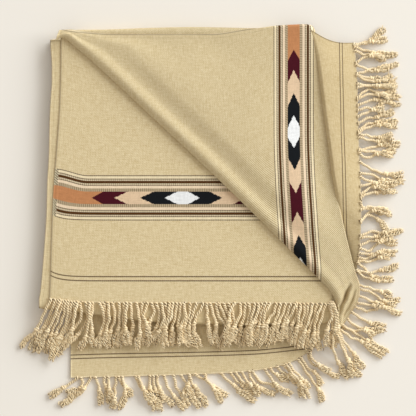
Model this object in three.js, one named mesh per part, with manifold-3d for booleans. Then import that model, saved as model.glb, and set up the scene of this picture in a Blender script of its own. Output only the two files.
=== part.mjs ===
// A wool shawl with knotted fringes, folded in half along its length, then in quarters, and laid flat.
// The loose corner of its top ply is turned back over a soft diagonal roll, and its end drops over the side.
// Millimetres, +Z up. The origin is on the surface that the shawl lies on, under the middle of its box.
import * as THREE from "three";
import { mergeVertices } from "three/addons/utils/BufferGeometryUtils.js";
import Module from "manifold-3d";

const wasm = await Module();
wasm.setup();

// The cloth and the stack
const PLY = 2; // wall of one ply of fulled twill
const GAP = 0.3; // air between two pieces that touch
const CORE_TOP = 16; // six hidden plies, lying loosely
const END_PANEL = 3; // the two plies of the lower end, pressed together
const CORD_BED = 5; // height of one layer of fringe
const HALF_PLY = PLY / 2;
const SEAM = GAP + 0.1; // between a hem and its fringe, seen from above
const CORNER_STEPS = 4; // straight pieces in a rounded corner
const PANEL_FLOOR = CORE_TOP + GAP; // underside of the front panel
const TURNED_FLOOR = PANEL_FLOOR + PLY + GAP; // underside of the top ply, where it isn't turned

const wool = (color) => new THREE.MeshStandardMaterial({ color, roughness: 0.95, metalness: 0 });
const CLOTH_COLOUR = 0xd9c69c;
const SHADE_COLOUR = 0xcbb587;
const CORD_COLOUR = 0xe0cfa6;

const smooth = (from, to, at) => THREE.MathUtils.smoothstep(at, from, to);
const { lerp } = THREE.MathUtils;

// A closed body from index triples and points.
function bodyGeometry(points, faces) {
  const geometry = new THREE.BufferGeometry().setFromPoints(points);
  geometry.setIndex(faces.flat());
  geometry.computeVertexNormals();
  return geometry;
}

// A closed wall between two grids of points, of the same rows and columns: the outer skin, and the inner one.
// Seen from outside the outer skin, rows run down and columns run to the right. Where they run the other way,
// the skins change places.
function wallBetween(outer, inner) {
  const rows = outer.length;
  const columns = outer[0].length;
  const points = [...outer.flat(), ...inner.flat()];
  const out = (row, column) => row * columns + column;
  const into = (row, column) => rows * columns + out(row, column);
  const faces = [];
  const quad = (a, b, c, d) => faces.push([a, b, c], [a, c, d]);
  for (let r = 0; r < rows - 1; r++) {
    for (let c = 0; c < columns - 1; c++) {
      quad(out(r, c), out(r + 1, c), out(r + 1, c + 1), out(r, c + 1));
      quad(into(r, c), into(r, c + 1), into(r + 1, c + 1), into(r + 1, c));
    }
    quad(out(r, 0), into(r, 0), into(r + 1, 0), out(r + 1, 0));
    quad(out(r, columns - 1), out(r + 1, columns - 1), into(r + 1, columns - 1), into(r, columns - 1));
  }
  for (let c = 0; c < columns - 1; c++) {
    quad(out(0, c), out(0, c + 1), into(0, c + 1), into(0, c));
    quad(out(rows - 1, c), into(rows - 1, c), into(rows - 1, c + 1), out(rows - 1, c + 1));
  }
  return bodyGeometry(points, faces);
}

// The straight-sided outline of a panel with its corners rounded.
function roundedOutline(corners) {
  const shape = new THREE.Shape();
  corners.forEach((corner, i) => {
    const here = new THREE.Vector2(corner.x, corner.y);
    const before = corners[(i + corners.length - 1) % corners.length];
    const after = corners[(i + 1) % corners.length];
    const cut = (other) => {
      const way = new THREE.Vector2(other.x, other.y).sub(here);
      return here.clone().addScaledVector(way, Math.min(corner.round / way.length(), 0.45));
    };
    const start = cut(before);
    const end = cut(after);
    if (i === 0) shape.moveTo(start.x, start.y);
    else shape.lineTo(start.x, start.y);
    shape.quadraticCurveTo(here.x, here.y, end.x, end.y);
  });
  return shape;
}

// A flat panel or bed of the given outline.
function slab(outline, floor, height) {
  const options = { depth: height, bevelEnabled: false, curveSegments: CORNER_STEPS };
  const geometry = new THREE.ExtrudeGeometry(outline, options);
  geometry.translate(0, 0, floor);
  return geometry;
}

function toSolid(geometry) {
  const bare = geometry.clone();
  bare.deleteAttribute("normal");
  bare.deleteAttribute("uv");
  const merged = mergeVertices(bare, 1e-4);
  return new wasm.Manifold(new wasm.Mesh({
    numProp: 3,
    vertProperties: new Float32Array(merged.attributes.position.array),
    triVerts: new Uint32Array(merged.index.array),
  }));
}

function fromSolid(solid) {
  const mesh = solid.getMesh();
  const geometry = new THREE.BufferGeometry();
  geometry.setAttribute("position", new THREE.BufferAttribute(mesh.vertProperties, 3));
  geometry.setIndex(new THREE.BufferAttribute(mesh.triVerts, 1));
  geometry.computeVertexNormals();
  return geometry;
}

// ---- Lower end panel: the end of the bottom quarter, which lies on the surface and shows past the stack.
const TUCK = -158; // the panel goes back this far under the stack
const LOWER_END = [
  { x: -244, y: TUCK, round: 0 },
  { x: -243, y: -273, round: 1.5 },
  { x: -20, y: -266.5, round: 60 },
  { x: 89, y: -259, round: 40 },
  { x: 146, y: -243, round: 14 },
  { x: 190, y: -208, round: 18 },
  { x: 204, y: -176, round: 8 },
  { x: 204, y: TUCK, round: 0 },
];

// The panel, or the room that it takes under the stack when it is grown by a gap.
function lowerEnd(grow) {
  const outline = LOWER_END.map((corner) => ({
    ...corner,
    x: corner.x + Math.sign(corner.x) * grow,
    y: corner.y + (corner.y === TUCK ? grow : -grow),
  }));
  return slab(roundedOutline(outline), -grow, END_PANEL + 2 * grow);
}

// ---- Folded core: all the plies that don't show, as one stack with a rounded, layered edge.
const STACK_OUTLINE = [
  { x: -279, y: 309, round: 8 },
  { x: -264, y: 311, round: 6 },
  { x: -256, y: 324.5, round: 9 },
  { x: -21, y: 327, round: 30 },
  { x: 222, y: 329, round: 82 },
  { x: 221, y: 119, round: 60 },
  { x: 213, y: -105, round: 40 },
  { x: 208, y: -177, round: 16 },
  { x: -21, y: -177, round: 60 },
  { x: -201, y: -160, round: 40 },
  { x: -297, y: -150, round: 10 },
  { x: -284, y: 23, round: 60 },
  { x: -275, y: 248, round: 30 },
];
const HIDDEN_PAIRS = [
  { top: 5.4, inset: 0 },
  { top: 10.8, inset: 0.6 },
  { top: CORE_TOP, inset: 1.6 },
];
const EDGE_ROUND = [
  { rise: 0.04, inset: 1.4 },
  { rise: 0.3, inset: 0.2 },
  { rise: 0.7, inset: 0.2 },
  { rise: 0.96, inset: 1.4 },
];

const APART = 0.5; // points of the outline that are nearer than this are one
const coreRing = roundedOutline(STACK_OUTLINE).getPoints(CORNER_STEPS)
  .filter((p, i, all) => p.distanceTo(all[(i + all.length - 1) % all.length]) > APART);
const ringTurn = THREE.ShapeUtils.isClockWise(coreRing) ? 1 : -1;

// The outline moved inwards by a distance, corner by corner.
function insetRing(ring, inset) {
  return ring.map((here, i) => {
    const before = ring[(i + ring.length - 1) % ring.length];
    const after = ring[(i + 1) % ring.length];
    const way = after.clone().sub(before).normalize();
    return new THREE.Vector2(here.x + way.y * inset * ringTurn, here.y - way.x * inset * ringTurn);
  });
}

function layeredStack() {
  let floor = 0;
  const levels = [];
  for (const pair of HIDDEN_PAIRS) {
    for (const edge of EDGE_ROUND) {
      levels.push({ z: lerp(floor, pair.top, edge.rise), inset: pair.inset + edge.inset });
    }
    floor = pair.top;
  }
  levels[0].z = 0;
  levels[levels.length - 1].z = CORE_TOP;
  const ringAt = ({ z, inset }) => insetRing(coreRing, inset).map((p) => new THREE.Vector3(p.x, p.y, z));
  const rings = levels.map(ringAt);
  const count = coreRing.length;
  const faces = [];
  for (let level = 0; level < rings.length - 1; level++) {
    for (let i = 0; i < count; i++) {
      const next = (i + 1) % count;
      const [a, b] = [level * count + i, level * count + next];
      const [c, d] = [b + count, a + count];
      faces.push(...(ringTurn < 0 ? [[a, b, c], [a, c, d]] : [[b, a, d], [b, d, c]]));
    }
  }
  const last = (rings.length - 1) * count;
  const flat = (ring) => ring.map((p) => new THREE.Vector2(p.x, p.y));
  const lid = THREE.ShapeUtils.triangulateShape(flat(rings[rings.length - 1]), []);
  const base = THREE.ShapeUtils.triangulateShape(flat(rings[0]), []);
  const faceUp = ([a, b, c], ring) => {
    const normal = new THREE.Triangle(ring[a], ring[b], ring[c]).getNormal(new THREE.Vector3());
    return normal.z > 0 ? [a, b, c] : [a, c, b];
  };
  lid.forEach((f) => faces.push(faceUp(f, rings[rings.length - 1]).map((i) => i + last)));
  base.forEach((f) => faces.push(faceUp(f, rings[0]).reverse()));
  return bodyGeometry(rings.flat(), faces);
}

function foldedCore() {
  return fromSolid(toSolid(layeredStack()).subtract(toSolid(lowerEnd(GAP))));
}

// ---- Front panel: the ply that shows on top of the stack at the left, with its selvedge and its hem.
const FRONT_PANEL = [
  { x: -267, y: 318, round: 4 },
  { x: -264, y: 222, round: 60 },
  { x: -272, y: 60, round: 60 },
  { x: -285, y: -137, round: 1.5 },
  { x: -230, y: -142, round: 20 },
  { x: 205, y: -144.5, round: 9 },
  { x: 206, y: 60, round: 60 },
  { x: 208, y: 318, round: 80 },
];

// ---- Turned flap: the top ply, whose corner is turned back over a diagonal roll.
// Each row is a section across the roll: the outside of the fold, and the far edge of the turned part.
// base is the middle of the ply under the roll, where that isn't lying on the front panel, tip the roll's
// radius, crest its full height above base, crown how far in from the fold it is highest, far the height of
// the far edge, and under the length that goes back beneath, as a share of the section.
const LYING = TURNED_FLOOR + HALF_PLY; // middle of a ply that lies on the front panel
const FLAP_SECTIONS = [
  { foldX: -268, foldY: 308, farX: -262, farY: 326, tip: 2.6, crest: 7, crown: 8, far: 24, under: 0.6 },
  { foldX: -256, foldY: 313, farX: -241, farY: 328, tip: 2.8, crest: 8, crown: 10, far: 23, under: 0.6 },
  { foldX: -234, foldY: 296, farX: -212, farY: 328, tip: 3.0, crest: 9, crown: 20, far: 22.4, under: 0.8 },
  { foldX: -199, foldY: 266, farX: -155, farY: 328, tip: 3.2, crest: 9.5, crown: 27, far: 22.2, under: 0.88 },
  { foldX: -107, foldY: 180, farX: -10, farY: 330, tip: 3.2, crest: 9.5, crown: 29, far: 22, under: 0.92 },
  { foldX: -51, foldY: 128, farX: 80, farY: 331.5, tip: 3.2, crest: 9, crown: 29, far: 22, under: 0.92 },
  { foldX: -15, foldY: 94, farX: 160, farY: 332, tip: 3.2, crest: 9, crown: 29, far: 22.4, under: 0.9 },
  { foldX: 5, foldY: 75, farX: 172, farY: 326, tip: 3.2, crest: 9, crown: 29, far: 23, under: 0.86 },
  { foldX: 40, foldY: 41, farX: 181, farY: 271, tip: 3.2, crest: 9, crown: 28, far: 23, under: 0.84 },
  { foldX: 78, foldY: 4, farX: 188, farY: 214, tip: 3.2, crest: 9, crown: 27, far: 23, under: 0.82 },
  { foldX: 115, foldY: -33, farX: 197, farY: 146, tip: 3.2, crest: 9, crown: 26, far: 23, under: 0.78 },
  { foldX: 145, foldY: -63, farX: 206, farY: 78, tip: 3.2, crest: 9, crown: 24, far: 23, under: 0.72 },
  { foldX: 168, foldY: -86, farX: 219, farY: 20, tip: 3.0, crest: 9, crown: 22, far: 22.4, under: 0.6 },
  { foldX: 186, foldY: -104, farX: 232, farY: -36, tip: 2.8, crest: 8.5, crown: 19, far: 20, under: 0.42 },
  { foldX: 201, foldY: -120, farX: 246, farY: -88, tip: 2.6, crest: 7.5, crown: 15, far: 14.5, under: 0.2 },
  { foldX: 212, foldY: -139, farX: 254, farY: -118, tip: 2.4, crest: 6, crown: 12, far: 9, under: 0.1 },
  { foldX: 217, foldY: -157, farX: 249, farY: -144, base: 14.4, tip: 2.2, crest: 5, crown: 9, far: 7.2, under: 0.1 },
  { foldX: 218, foldY: -172, farX: 236, farY: -164, base: 9.4, tip: 2.0, crest: 4.2, crown: 5, far: 6.8, under: 0.15 },
  { foldX: 218, foldY: -188, farX: 225, farY: -181, base: 6.6, tip: 1.8, crest: 3.7, crown: 2.6, far: 6.8, under: 0.2 },
].map((row) => ({ base: LYING, ...row }));
const SECTIONS_BETWEEN = 2; // sections worked out for each row of the table
const CROWDING = 1.6; // how much nearer together the points of a section are by the roll
const FAR_SHARE = 0.6; // share of a section past which it goes to the height of its far edge
const OVER_STEPS = 9;
const ROLL_STEPS = 5;
const UNDER_STEPS = 3;
const SETTLE = 40; // length over which the cloth comes down from the crown

// A row of the table at a place between two rows.
function rowAt(table, place) {
  const before = table[Math.min(Math.floor(place), table.length - 1)];
  const after = table[Math.min(Math.floor(place) + 1, table.length - 1)];
  const share = place - Math.floor(place);
  return Object.fromEntries(Object.keys(before).map((key) => [key, lerp(before[key], after[key], share)]));
}

// The middle of the turned ply in its own section: reach from the fold, and height.
function flapSection(row, length) {
  const path = [];
  const lying = Math.min(row.far, LYING + PLY + GAP);
  const top = row.base + row.crest;
  for (let i = 0; i <= OVER_STEPS; i++) {
    const reach = row.tip + (length - row.tip) * (1 - i / OVER_STEPS) ** CROWDING;
    const rising = smooth(row.tip, row.crown, reach);
    const falling = smooth(row.crown, row.crown + SETTLE, reach);
    const rest = lerp(lying, row.far, smooth(FAR_SHARE, 1, reach / length));
    path.push({ reach, z: lerp(lerp(row.base + 2 * row.tip, top, rising), rest, Math.min(falling, rising)) });
  }
  path[0].z = row.far;
  for (let i = 1; i < ROLL_STEPS; i++) {
    const turn = (Math.PI * i) / ROLL_STEPS;
    path.push({ reach: row.tip * (1 - Math.sin(turn)), z: row.base + row.tip * (1 + Math.cos(turn)) });
  }
  for (let i = 0; i <= UNDER_STEPS; i++) {
    path.push({ reach: row.tip + (length * row.under * i) / UNDER_STEPS, z: row.base });
  }
  return path;
}

function turnedFlap() {
  const outer = [];
  const inner = [];
  for (let i = 0; i <= (FLAP_SECTIONS.length - 1) * SECTIONS_BETWEEN; i++) {
    const row = rowAt(FLAP_SECTIONS, i / SECTIONS_BETWEEN);
    const way = new THREE.Vector2(row.farX - row.foldX, row.farY - row.foldY);
    const length = way.length();
    way.normalize();
    const path = flapSection(row, length);
    const at = (reach, z) => new THREE.Vector3(row.foldX + way.x * reach, row.foldY + way.y * reach, z);
    const moved = (side) => path.map((point, k) => {
      const before = path[Math.max(k - 1, 0)];
      const after = path[Math.min(k + 1, path.length - 1)];
      const along = new THREE.Vector2(after.reach - before.reach, after.z - before.z).normalize();
      return at(point.reach + along.y * side, point.z - along.x * side);
    });
    outer.push(moved(HALF_PLY));
    inner.push(moved(-HALF_PLY));
  }
  return wallBetween(inner, outer);
}

// ---- End strip: the last of the turned part, from under its pleat down over the side of the stack.
// Each row runs from the pleat to the hem. from is the strip's height at the pleat, where it is off the stack.
const END_STRIP = [
  { pleatX: 172, pleatY: 325, hemX: 244, hemY: 303 },
  { pleatX: 178, pleatY: 299, hemX: 247, hemY: 281 },
  { pleatX: 183, pleatY: 260, hemX: 249, hemY: 240 },
  { pleatX: 189, pleatY: 207, hemX: 250, hemY: 174 },
  { pleatX: 195, pleatY: 162, hemX: 252, hemY: 130 },
  { pleatX: 201, pleatY: 118, hemX: 253, hemY: 87 },
  { pleatX: 208, pleatY: 68, hemX: 255, hemY: 50 },
  { pleatX: 219, pleatY: 21, hemX: 256, hemY: 16, from: 19.2 },
  { pleatX: 227, pleatY: -18, hemX: 255, hemY: -20, from: 17.4 },
  { pleatX: 235, pleatY: -48, hemX: 254, hemY: -50, from: 14 },
  { pleatX: 242, pleatY: -74, hemX: 249.5, hemY: -75, from: 10 },
  { pleatX: 245, pleatY: -88, hemX: 247.5, hemY: -90, from: 7 },
].map((row) => ({ from: LYING + GAP, ...row }));
const STRIP_TUCK = 8; // how far the strip goes in under the pleat
const STRIP_FALL = 32; // width over which it comes down to the surface
const STRIP_STEPS = 8;
const HEM_REST = HALF_PLY; // middle of the ply where the hem lies on the surface

function endStrip() {
  const middle = END_STRIP.map((row) => {
    const line = [];
    const width = row.hemX - row.pleatX;
    for (let i = 0; i <= STRIP_STEPS; i++) {
      const share = lerp(-STRIP_TUCK / width, 1, i / STRIP_STEPS);
      const left = (1 - share) * width;
      const height = smooth(0, Math.min(STRIP_FALL, width), left);
      line.push(new THREE.Vector3(
        lerp(row.pleatX, row.hemX, share),
        lerp(row.pleatY, row.hemY, share),
        lerp(HEM_REST, row.from, height),
      ));
    }
    return line;
  });
  const raised = (by) => middle.map((line) => line.map((p) => new THREE.Vector3(p.x, p.y, p.z + by)));
  return wallBetween(raised(HALF_PLY), raised(-HALF_PLY));
}

// ---- Fringes: each is a plain bed of the reach of its cords.
// The front fringe hangs from the front panel's hem over the edge of the stack.
// Each row of the table is one line down the fringe, from its root in the hem to its tip.
const FRONT_FRINGE = [
  { rootX: -281, rootY: -137.8, edgeX: -299, edgeY: -156, tipX: -335, tipY: -216 },
  { rootX: -268, rootY: -138.9, edgeX: -283, edgeY: -157, tipX: -314, tipY: -238 },
  { rootX: -245, rootY: -141, edgeX: -258, edgeY: -158, tipX: -282, tipY: -240 },
  { rootX: -212, rootY: -142.5, edgeX: -222, edgeY: -162, tipX: -232, tipY: -229 },
  { rootX: -150, rootY: -142.9, edgeX: -152, edgeY: -170, tipX: -158, tipY: -226 },
  { rootX: -21, rootY: -143.6, edgeX: -21, edgeY: -180, tipX: -21, tipY: -224 },
  { rootX: 120, rootY: -144.4, edgeX: 120, edgeY: -180, tipX: 122, tipY: -221 },
  { rootX: 196, rootY: -145, edgeX: 202, edgeY: -180, tipX: 205, tipY: -213 },
];
// along is a share of the way from the root to the edge of the stack, height of that from the surface to the hem.
const FRINGE_DESCENT = [
  { along: 0, height: 1 },
  { along: 0.82, height: 1 },
  { along: 1.08, height: 0.78 },
  { along: 1.32, height: 0.12 },
  { along: 1.66, height: 0 },
];

function frontFringe() {
  const lying = END_PANEL + GAP;
  const lines = FRINGE_DESCENT.map((level) => FRONT_FRINGE.map((row) => new THREE.Vector3(
    lerp(row.rootX, row.edgeX, level.along),
    lerp(row.rootY, row.edgeY, level.along),
    lerp(lying, PANEL_FLOOR, level.height),
  )));
  lines.push(FRONT_FRINGE.map((row) => new THREE.Vector3(row.tipX, row.tipY, lying)));
  const raised = lines.map((line) => line.map((p) => new THREE.Vector3(p.x, p.y, p.z + CORD_BED)));
  return wallBetween(raised, lines);
}

// A bed of cords lying on the surface, from its roots to its tips.
function lyingFringe(outline) {
  return slab(roundedOutline(outline), 0, CORD_BED);
}

const FLAP_FRINGE = [
  ...END_STRIP.map((row) => ({ x: row.hemX + SEAM, y: row.hemY, round: 0 })),
  { x: 250, y: -94, round: 0 },
  { x: 322, y: -96, round: 8 },
  { x: 318, y: -20, round: 20 },
  { x: 335, y: 40, round: 20 },
  { x: 327, y: 150, round: 30 },
  { x: 332, y: 210, round: 10 },
  { x: 321, y: 300, round: 10 },
  { x: 298, y: 333, round: 4 },
];
const CORNER_FRINGE = [
  { x: 252, y: -99, round: 0 },
  { x: 247, y: -128, round: 14 },
  { x: 222, y: -174, round: 8 },
  { x: 214, y: -205, round: 4 },
  { x: 246, y: -280, round: 8 },
  { x: 300, y: -240, round: 12 },
  { x: 328, y: -175, round: 10 },
  { x: 326, y: -99, round: 8 },
];
const LOWER_FRINGE = [
  { x: -243, y: -273 - SEAM, round: 0 },
  { x: -20, y: -266.5 - SEAM, round: 60 },
  { x: 89, y: -259 - SEAM, round: 40 },
  { x: 146, y: -243 - SEAM, round: 14 },
  { x: 176, y: -220, round: 0 },
  { x: 216, y: -220, round: 4 },
  { x: 238, y: -276, round: 6 },
  { x: 196, y: -318, round: 10 },
  { x: 70, y: -314, round: 40 },
  { x: -60, y: -333, round: 10 },
  { x: -170, y: -333, round: 10 },
  { x: -275, y: -326, round: 8 },
  { x: -286, y: -306, round: 8 },
];

const shawl = new THREE.Group();

function add(name, geometry, color) {
  const mesh = new THREE.Mesh(geometry, wool(color));
  mesh.name = name;
  shawl.add(mesh);
}

add("lower_end_panel", lowerEnd(0), CLOTH_COLOUR);
add("folded_core", foldedCore(), SHADE_COLOUR);
add("front_panel", slab(roundedOutline(FRONT_PANEL), PANEL_FLOOR, PLY), CLOTH_COLOUR);
add("turned_flap", turnedFlap(), CLOTH_COLOUR);
add("flap_end_strip", endStrip(), CLOTH_COLOUR);
add("front_fringe", frontFringe(), CORD_COLOUR);
add("flap_fringe", lyingFringe(FLAP_FRINGE), CORD_COLOUR);
add("corner_fringe", lyingFringe(CORNER_FRINGE), CORD_COLOUR);
add("lower_fringe", lyingFringe(LOWER_FRINGE), CORD_COLOUR);

export default shawl;
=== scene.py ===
import math

import bpy
import numpy as np
from mathutils.bvhtree import BVHTree
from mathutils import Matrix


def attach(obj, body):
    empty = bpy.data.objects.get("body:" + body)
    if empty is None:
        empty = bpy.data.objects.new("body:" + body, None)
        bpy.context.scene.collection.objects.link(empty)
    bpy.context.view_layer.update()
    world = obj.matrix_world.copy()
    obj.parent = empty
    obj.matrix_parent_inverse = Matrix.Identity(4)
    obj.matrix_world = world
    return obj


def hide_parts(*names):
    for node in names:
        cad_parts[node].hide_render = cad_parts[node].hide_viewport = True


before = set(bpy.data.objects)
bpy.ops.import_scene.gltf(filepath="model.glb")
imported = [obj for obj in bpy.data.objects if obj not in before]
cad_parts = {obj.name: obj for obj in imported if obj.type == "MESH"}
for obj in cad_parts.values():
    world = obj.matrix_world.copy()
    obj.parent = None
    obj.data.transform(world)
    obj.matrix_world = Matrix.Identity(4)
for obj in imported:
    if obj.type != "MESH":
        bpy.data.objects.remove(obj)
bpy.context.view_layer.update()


# ---------------------------------------------------------------------------------------------------
# The lower end panel: end B of the shawl, two plies of sand-coloured wool twill that lie on the surface.
# Woven in one length with the rest, with a pair of dark picks near its hem, and finished by the fringe.
# Here is also how any ply is made, as a thin shell round the middle of the cloth, and how it is woven.
MM = 0.001
WALL = 1.4  # millimetres, one ply of fulled twill


def smooth(low, high, at):
    """0 below low, 1 above high, and an even rise between them."""
    share = np.clip((np.asarray(at, float) - low) / (high - low), 0, 1)
    return share * share * (3 - 2 * share)


def ease(start, end, leave, arrive, u):
    """A cubic step from start to end, as u goes from 0 to 1, that leaves and arrives at those slopes."""
    first = start * (1 + 2 * u) * (1 - u) ** 2 + leave * u * (1 - u) ** 2
    second = end * u * u * (3 - 2 * u) + arrive * u * u * (u - 1)
    return first + second


def unit(ways):
    """The same directions, each at length 1."""
    return ways / np.maximum(np.linalg.norm(ways, axis=-1, keepdims=True), 1e-9)


def curve(stations, values, at):
    """A smooth line through the values at the stations, read elsewhere, that never overshoots them."""
    stations = np.asarray(stations, float)
    values = np.asarray(values, float)
    rise = np.diff(values) / np.diff(stations)
    even = rise[1:] * rise[:-1] > 0
    total = np.where(even, rise[1:] + rise[:-1], 1)
    inner = np.where(even, 2 * rise[1:] * rise[:-1] / total, 0)
    slope = np.concatenate([rise[:1], inner, rise[-1:]])
    i = np.clip(np.searchsorted(stations, at) - 1, 0, len(stations) - 2)
    span = stations[i + 1] - stations[i]
    u = np.clip((at - stations[i]) / span, 0, 1)
    return ease(values[i], values[i + 1], slope[i] * span, slope[i + 1] * span, u)


def ripple(x, y, length, seed):
    """Soft uneven waves from -1 to 1, about that many millimetres long."""
    rng = np.random.default_rng(seed)
    total = np.zeros(np.broadcast(x, y).shape)
    for _ in range(7):
        way = rng.uniform(0, math.tau)
        stretch = rng.uniform(0.7, 1.5) * length
        phase = rng.uniform(0, math.tau)
        total += np.sin((x * math.cos(way) + y * math.sin(way)) * math.tau / stretch + phase)
    return total / 7


def spaced(count, fine, both_ends=True):
    """Places from 0 to 1 that crowd towards both ends, or only towards the first."""
    even = np.linspace(0, 1, count)
    bent = 0.5 - 0.5 * np.cos(np.pi * even) if both_ends else even ** 2
    return even * (1 - fine) + bent * fine


def ply(name, middle, weave, wall=WALL):
    """One ply of cloth: a closed shell round a grid of middle points in millimetres, with rounded rims.
    weave gives each point how far it is from the selvedge, the hem and the nearest finished edge."""
    rows, columns = middle.shape[:2]
    down = np.gradient(middle, axis=0)
    across = np.gradient(middle, axis=1)
    normal = unit(np.cross(across, down))
    upper = middle + normal * wall / 2
    under = middle - normal * wall / 2
    ring = [(0, c) for c in range(columns)] + [(r, columns - 1) for r in range(1, rows)]
    ring += [(rows - 1, c) for c in range(columns - 2, -1, -1)] + [(r, 0) for r in range(rows - 2, 0, -1)]
    rim = []
    for r, c in ring:
        inner_row = 1 if r == 0 else rows - 2 if r == rows - 1 else r
        inner_column = 1 if c == 0 else columns - 2 if c == columns - 1 else c
        out = unit(middle[r, c] - middle[inner_row, inner_column])
        rim.append(middle[r, c] + out * wall * 0.3)
    points = np.concatenate([upper.reshape(-1, 3), under.reshape(-1, 3), np.array(rim)]) * MM
    ring_weave = np.array([weave[r, c] for r, c in ring])
    marks = np.concatenate([weave.reshape(-1, 3), weave.reshape(-1, 3), ring_weave]) * MM
    index = np.arange(rows * columns).reshape(rows, columns)
    top = np.stack([index[:-1, :-1], index[1:, :-1], index[1:, 1:], index[:-1, 1:]], axis=-1).reshape(-1, 4)
    below = rows * columns
    faces = [top[:, ::-1], top + below]
    edge = np.array([r * columns + c for r, c in ring])
    onward = np.roll(edge, -1)
    at_rim = 2 * below + np.arange(len(ring))
    rim_onward = np.roll(at_rim, -1)
    faces.append(np.stack([edge, at_rim, rim_onward, onward], axis=-1)[:, ::-1])
    faces.append(np.stack([at_rim, edge + below, onward + below, rim_onward], axis=-1)[:, ::-1])
    return mesh_piece(name, points, np.concatenate(faces).tolist(), marks)


def mesh_piece(name, points, faces, marks):
    """A smooth-shaded mesh object, in metres, whose points carry the weave's own coordinates."""
    mesh = bpy.data.meshes.new(name)
    mesh.from_pydata(points.tolist(), [], faces)
    mesh.attributes.new("weave", "FLOAT_VECTOR", "POINT").data.foreach_set("vector", marks.ravel())
    mesh.polygons.foreach_set("use_smooth", [True] * len(mesh.polygons))
    mesh.update()
    piece = bpy.data.objects.new(name, mesh)
    bpy.context.scene.collection.objects.link(piece)
    return piece


def put_on(piece, node, finish):
    """The piece moves with the shawl, stands for its solid, and takes its finish."""
    piece.data.materials.append(finish)
    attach(piece, "root")
    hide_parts(node)
    return piece


class Dye:
    """The node tree of one finish, with each node set up in one call."""

    def __init__(self, name):
        self.material = bpy.data.materials.new(name)
        self.material.use_nodes = True
        self.tree = self.material.node_tree
        self.shader = self.tree.nodes["Principled BSDF"]

    def put(self, socket, value):
        if isinstance(value, bpy.types.NodeSocket):
            self.tree.links.new(value, socket)
        else:
            socket.default_value = value

    def node(self, kind, inputs, **settings):
        made = self.tree.nodes.new(kind)
        for key, value in settings.items():
            setattr(made, key, value)
        for key, value in inputs.items():
            self.put(made.inputs[key], value)
        return made

    def math(self, operation, first, second=0.0, third=0.0):
        return self.node("ShaderNodeMath", {0: first, 1: second, 2: third}, operation=operation).outputs[0]

    def mix(self, share, under, over, blend="MIX"):
        made = self.node("ShaderNodeMix", {}, data_type="RGBA", blend_type=blend)
        for socket, value in ((0, share), (6, under), (7, over)):
            self.put(made.inputs[socket], value)
        return made.outputs[2]

    def finish(self, settings, bump):
        """The finished material: the shader's settings by name, and the bump's."""
        for name, value in settings.items():
            self.put(self.shader.inputs[name], value)
        if bump:
            self.put(self.shader.inputs["Normal"], self.node("ShaderNodeBump", bump).outputs[0])
        return self.material

    def noise(self, at, scale, detail=2.0, rough=0.5):
        inputs = {"Vector": at, "Scale": scale, "Detail": detail, "Roughness": rough}
        return self.node("ShaderNodeTexNoise", inputs).outputs["Fac"]

    def stretched(self, at, along):
        return self.node("ShaderNodeVectorMath", {0: at, 1: along}, operation="MULTIPLY").outputs[0]

    def span(self, value, low, high):
        """0 where the value is low, 1 where it is high."""
        made = self.node("ShaderNodeMapRange", {"Value": value, "From Min": low, "From Max": high})
        made.clamp = True
        return made.outputs[0]

    def steps(self, value, starts, colours):
        """One colour from each start to the next, with hard edges."""
        made = self.node("ShaderNodeValToRGB", {"Fac": value})
        made.color_ramp.interpolation = "CONSTANT"
        stops = made.color_ramp.elements
        stops.remove(stops[-1])
        for i, (start, colour) in enumerate(zip(starts, colours)):
            stop = stops[0] if i == 0 else stops.new(start)
            stop.position = start
            stop.color = colour
        return made.outputs[0]

    def line(self, value, middle, half, soft=0.3):
        """1 on a thread at that place, fading over a soft edge."""
        off = self.math("ABSOLUTE", self.math("SUBTRACT", value, middle))
        return self.span(off, half + soft, half - soft)

    def times(self, first, second):
        return self.math("MULTIPLY", first, second)

    def plus(self, first, second):
        return self.math("ADD", first, second)


def shade(red, green, blue):
    """A linear colour from the 0 to 255 values of a dye chart."""
    shares = (red / 255, green / 255, blue / 255)
    linear = [v / 12.92 if v <= 0.04045 else ((v + 0.055) / 1.055) ** 2.4 for v in shares]
    return (*linear, 1.0)


SAND = shade(222, 202, 160)
PALE_SAND = shade(236, 219, 180)
DEEP_SAND = shade(203, 180, 134)
DARK_BROWN = shade(74, 50, 32)
THICK_BROWN = shade(84, 53, 24)
TAUPE = shade(164, 142, 112)
PALE_TAUPE = shade(214, 196, 164)
CREAM = shade(240, 222, 184)
PINK_CREAM = shade(240, 216, 184)
ORANGE = shade(196, 135, 90)
MAROON = shade(72, 13, 27)
PEACH = shade(227, 197, 162)
BLACK = shade(17, 20, 24)
WHITE = shade(241, 241, 240)
# The pale rim of finished edges: partly pale edge yarn, partly a painted highlight on the rounded edge.
RIM_YARN_AND_HIGHLIGHT = shade(247, 235, 207)

# The band, from its middle outwards: how far each stripe reaches, in millimetres, and its yarn.
BAND_MIDDLE = 180.0
MOTIF_HALF = 10.8
STRIPES = (
    (16.1, TAUPE, True),
    (20.7, PINK_CREAM, False),
    (22.2, DARK_BROWN, True),
    (24.7, PALE_TAUPE, True),
    (29.1, THICK_BROWN, False),
    (31.5, PALE_TAUPE, True),
    (33.1, DARK_BROWN, True),
    (37.1, CREAM, False),
    (38.9, DARK_BROWN, True),
)
LOZENGES = (
    # reach along the band at the tip and at the shoulder, and yarn
    (105.5, 85.5, PEACH),
    (66.0, 45.5, BLACK),
    (27.7, 9.0, WHITE),
)
ARROW_TIP = 140.7  # where the orange arrow beside the selvedge starts
ARROW_SHOULDER = 123.5
STRIPES_REACH = 40.0  # a little more than the outermost stripe
BEAD = 3.0  # one bead of a pick that dips under the warp ends
FLOAT = 4.2  # one pair of the floats at the selvedge
FLOATS_REACH = 5.4
SELVEDGE_ENDS_AND_EDGE_SHADOW = ((0.6, 0.75, 0.5), (6.4, 0.4, 0.2))  # brown lines: place, half width, strength; the first, at the very edge, is partly a warp end and partly a painted shadow line
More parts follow.
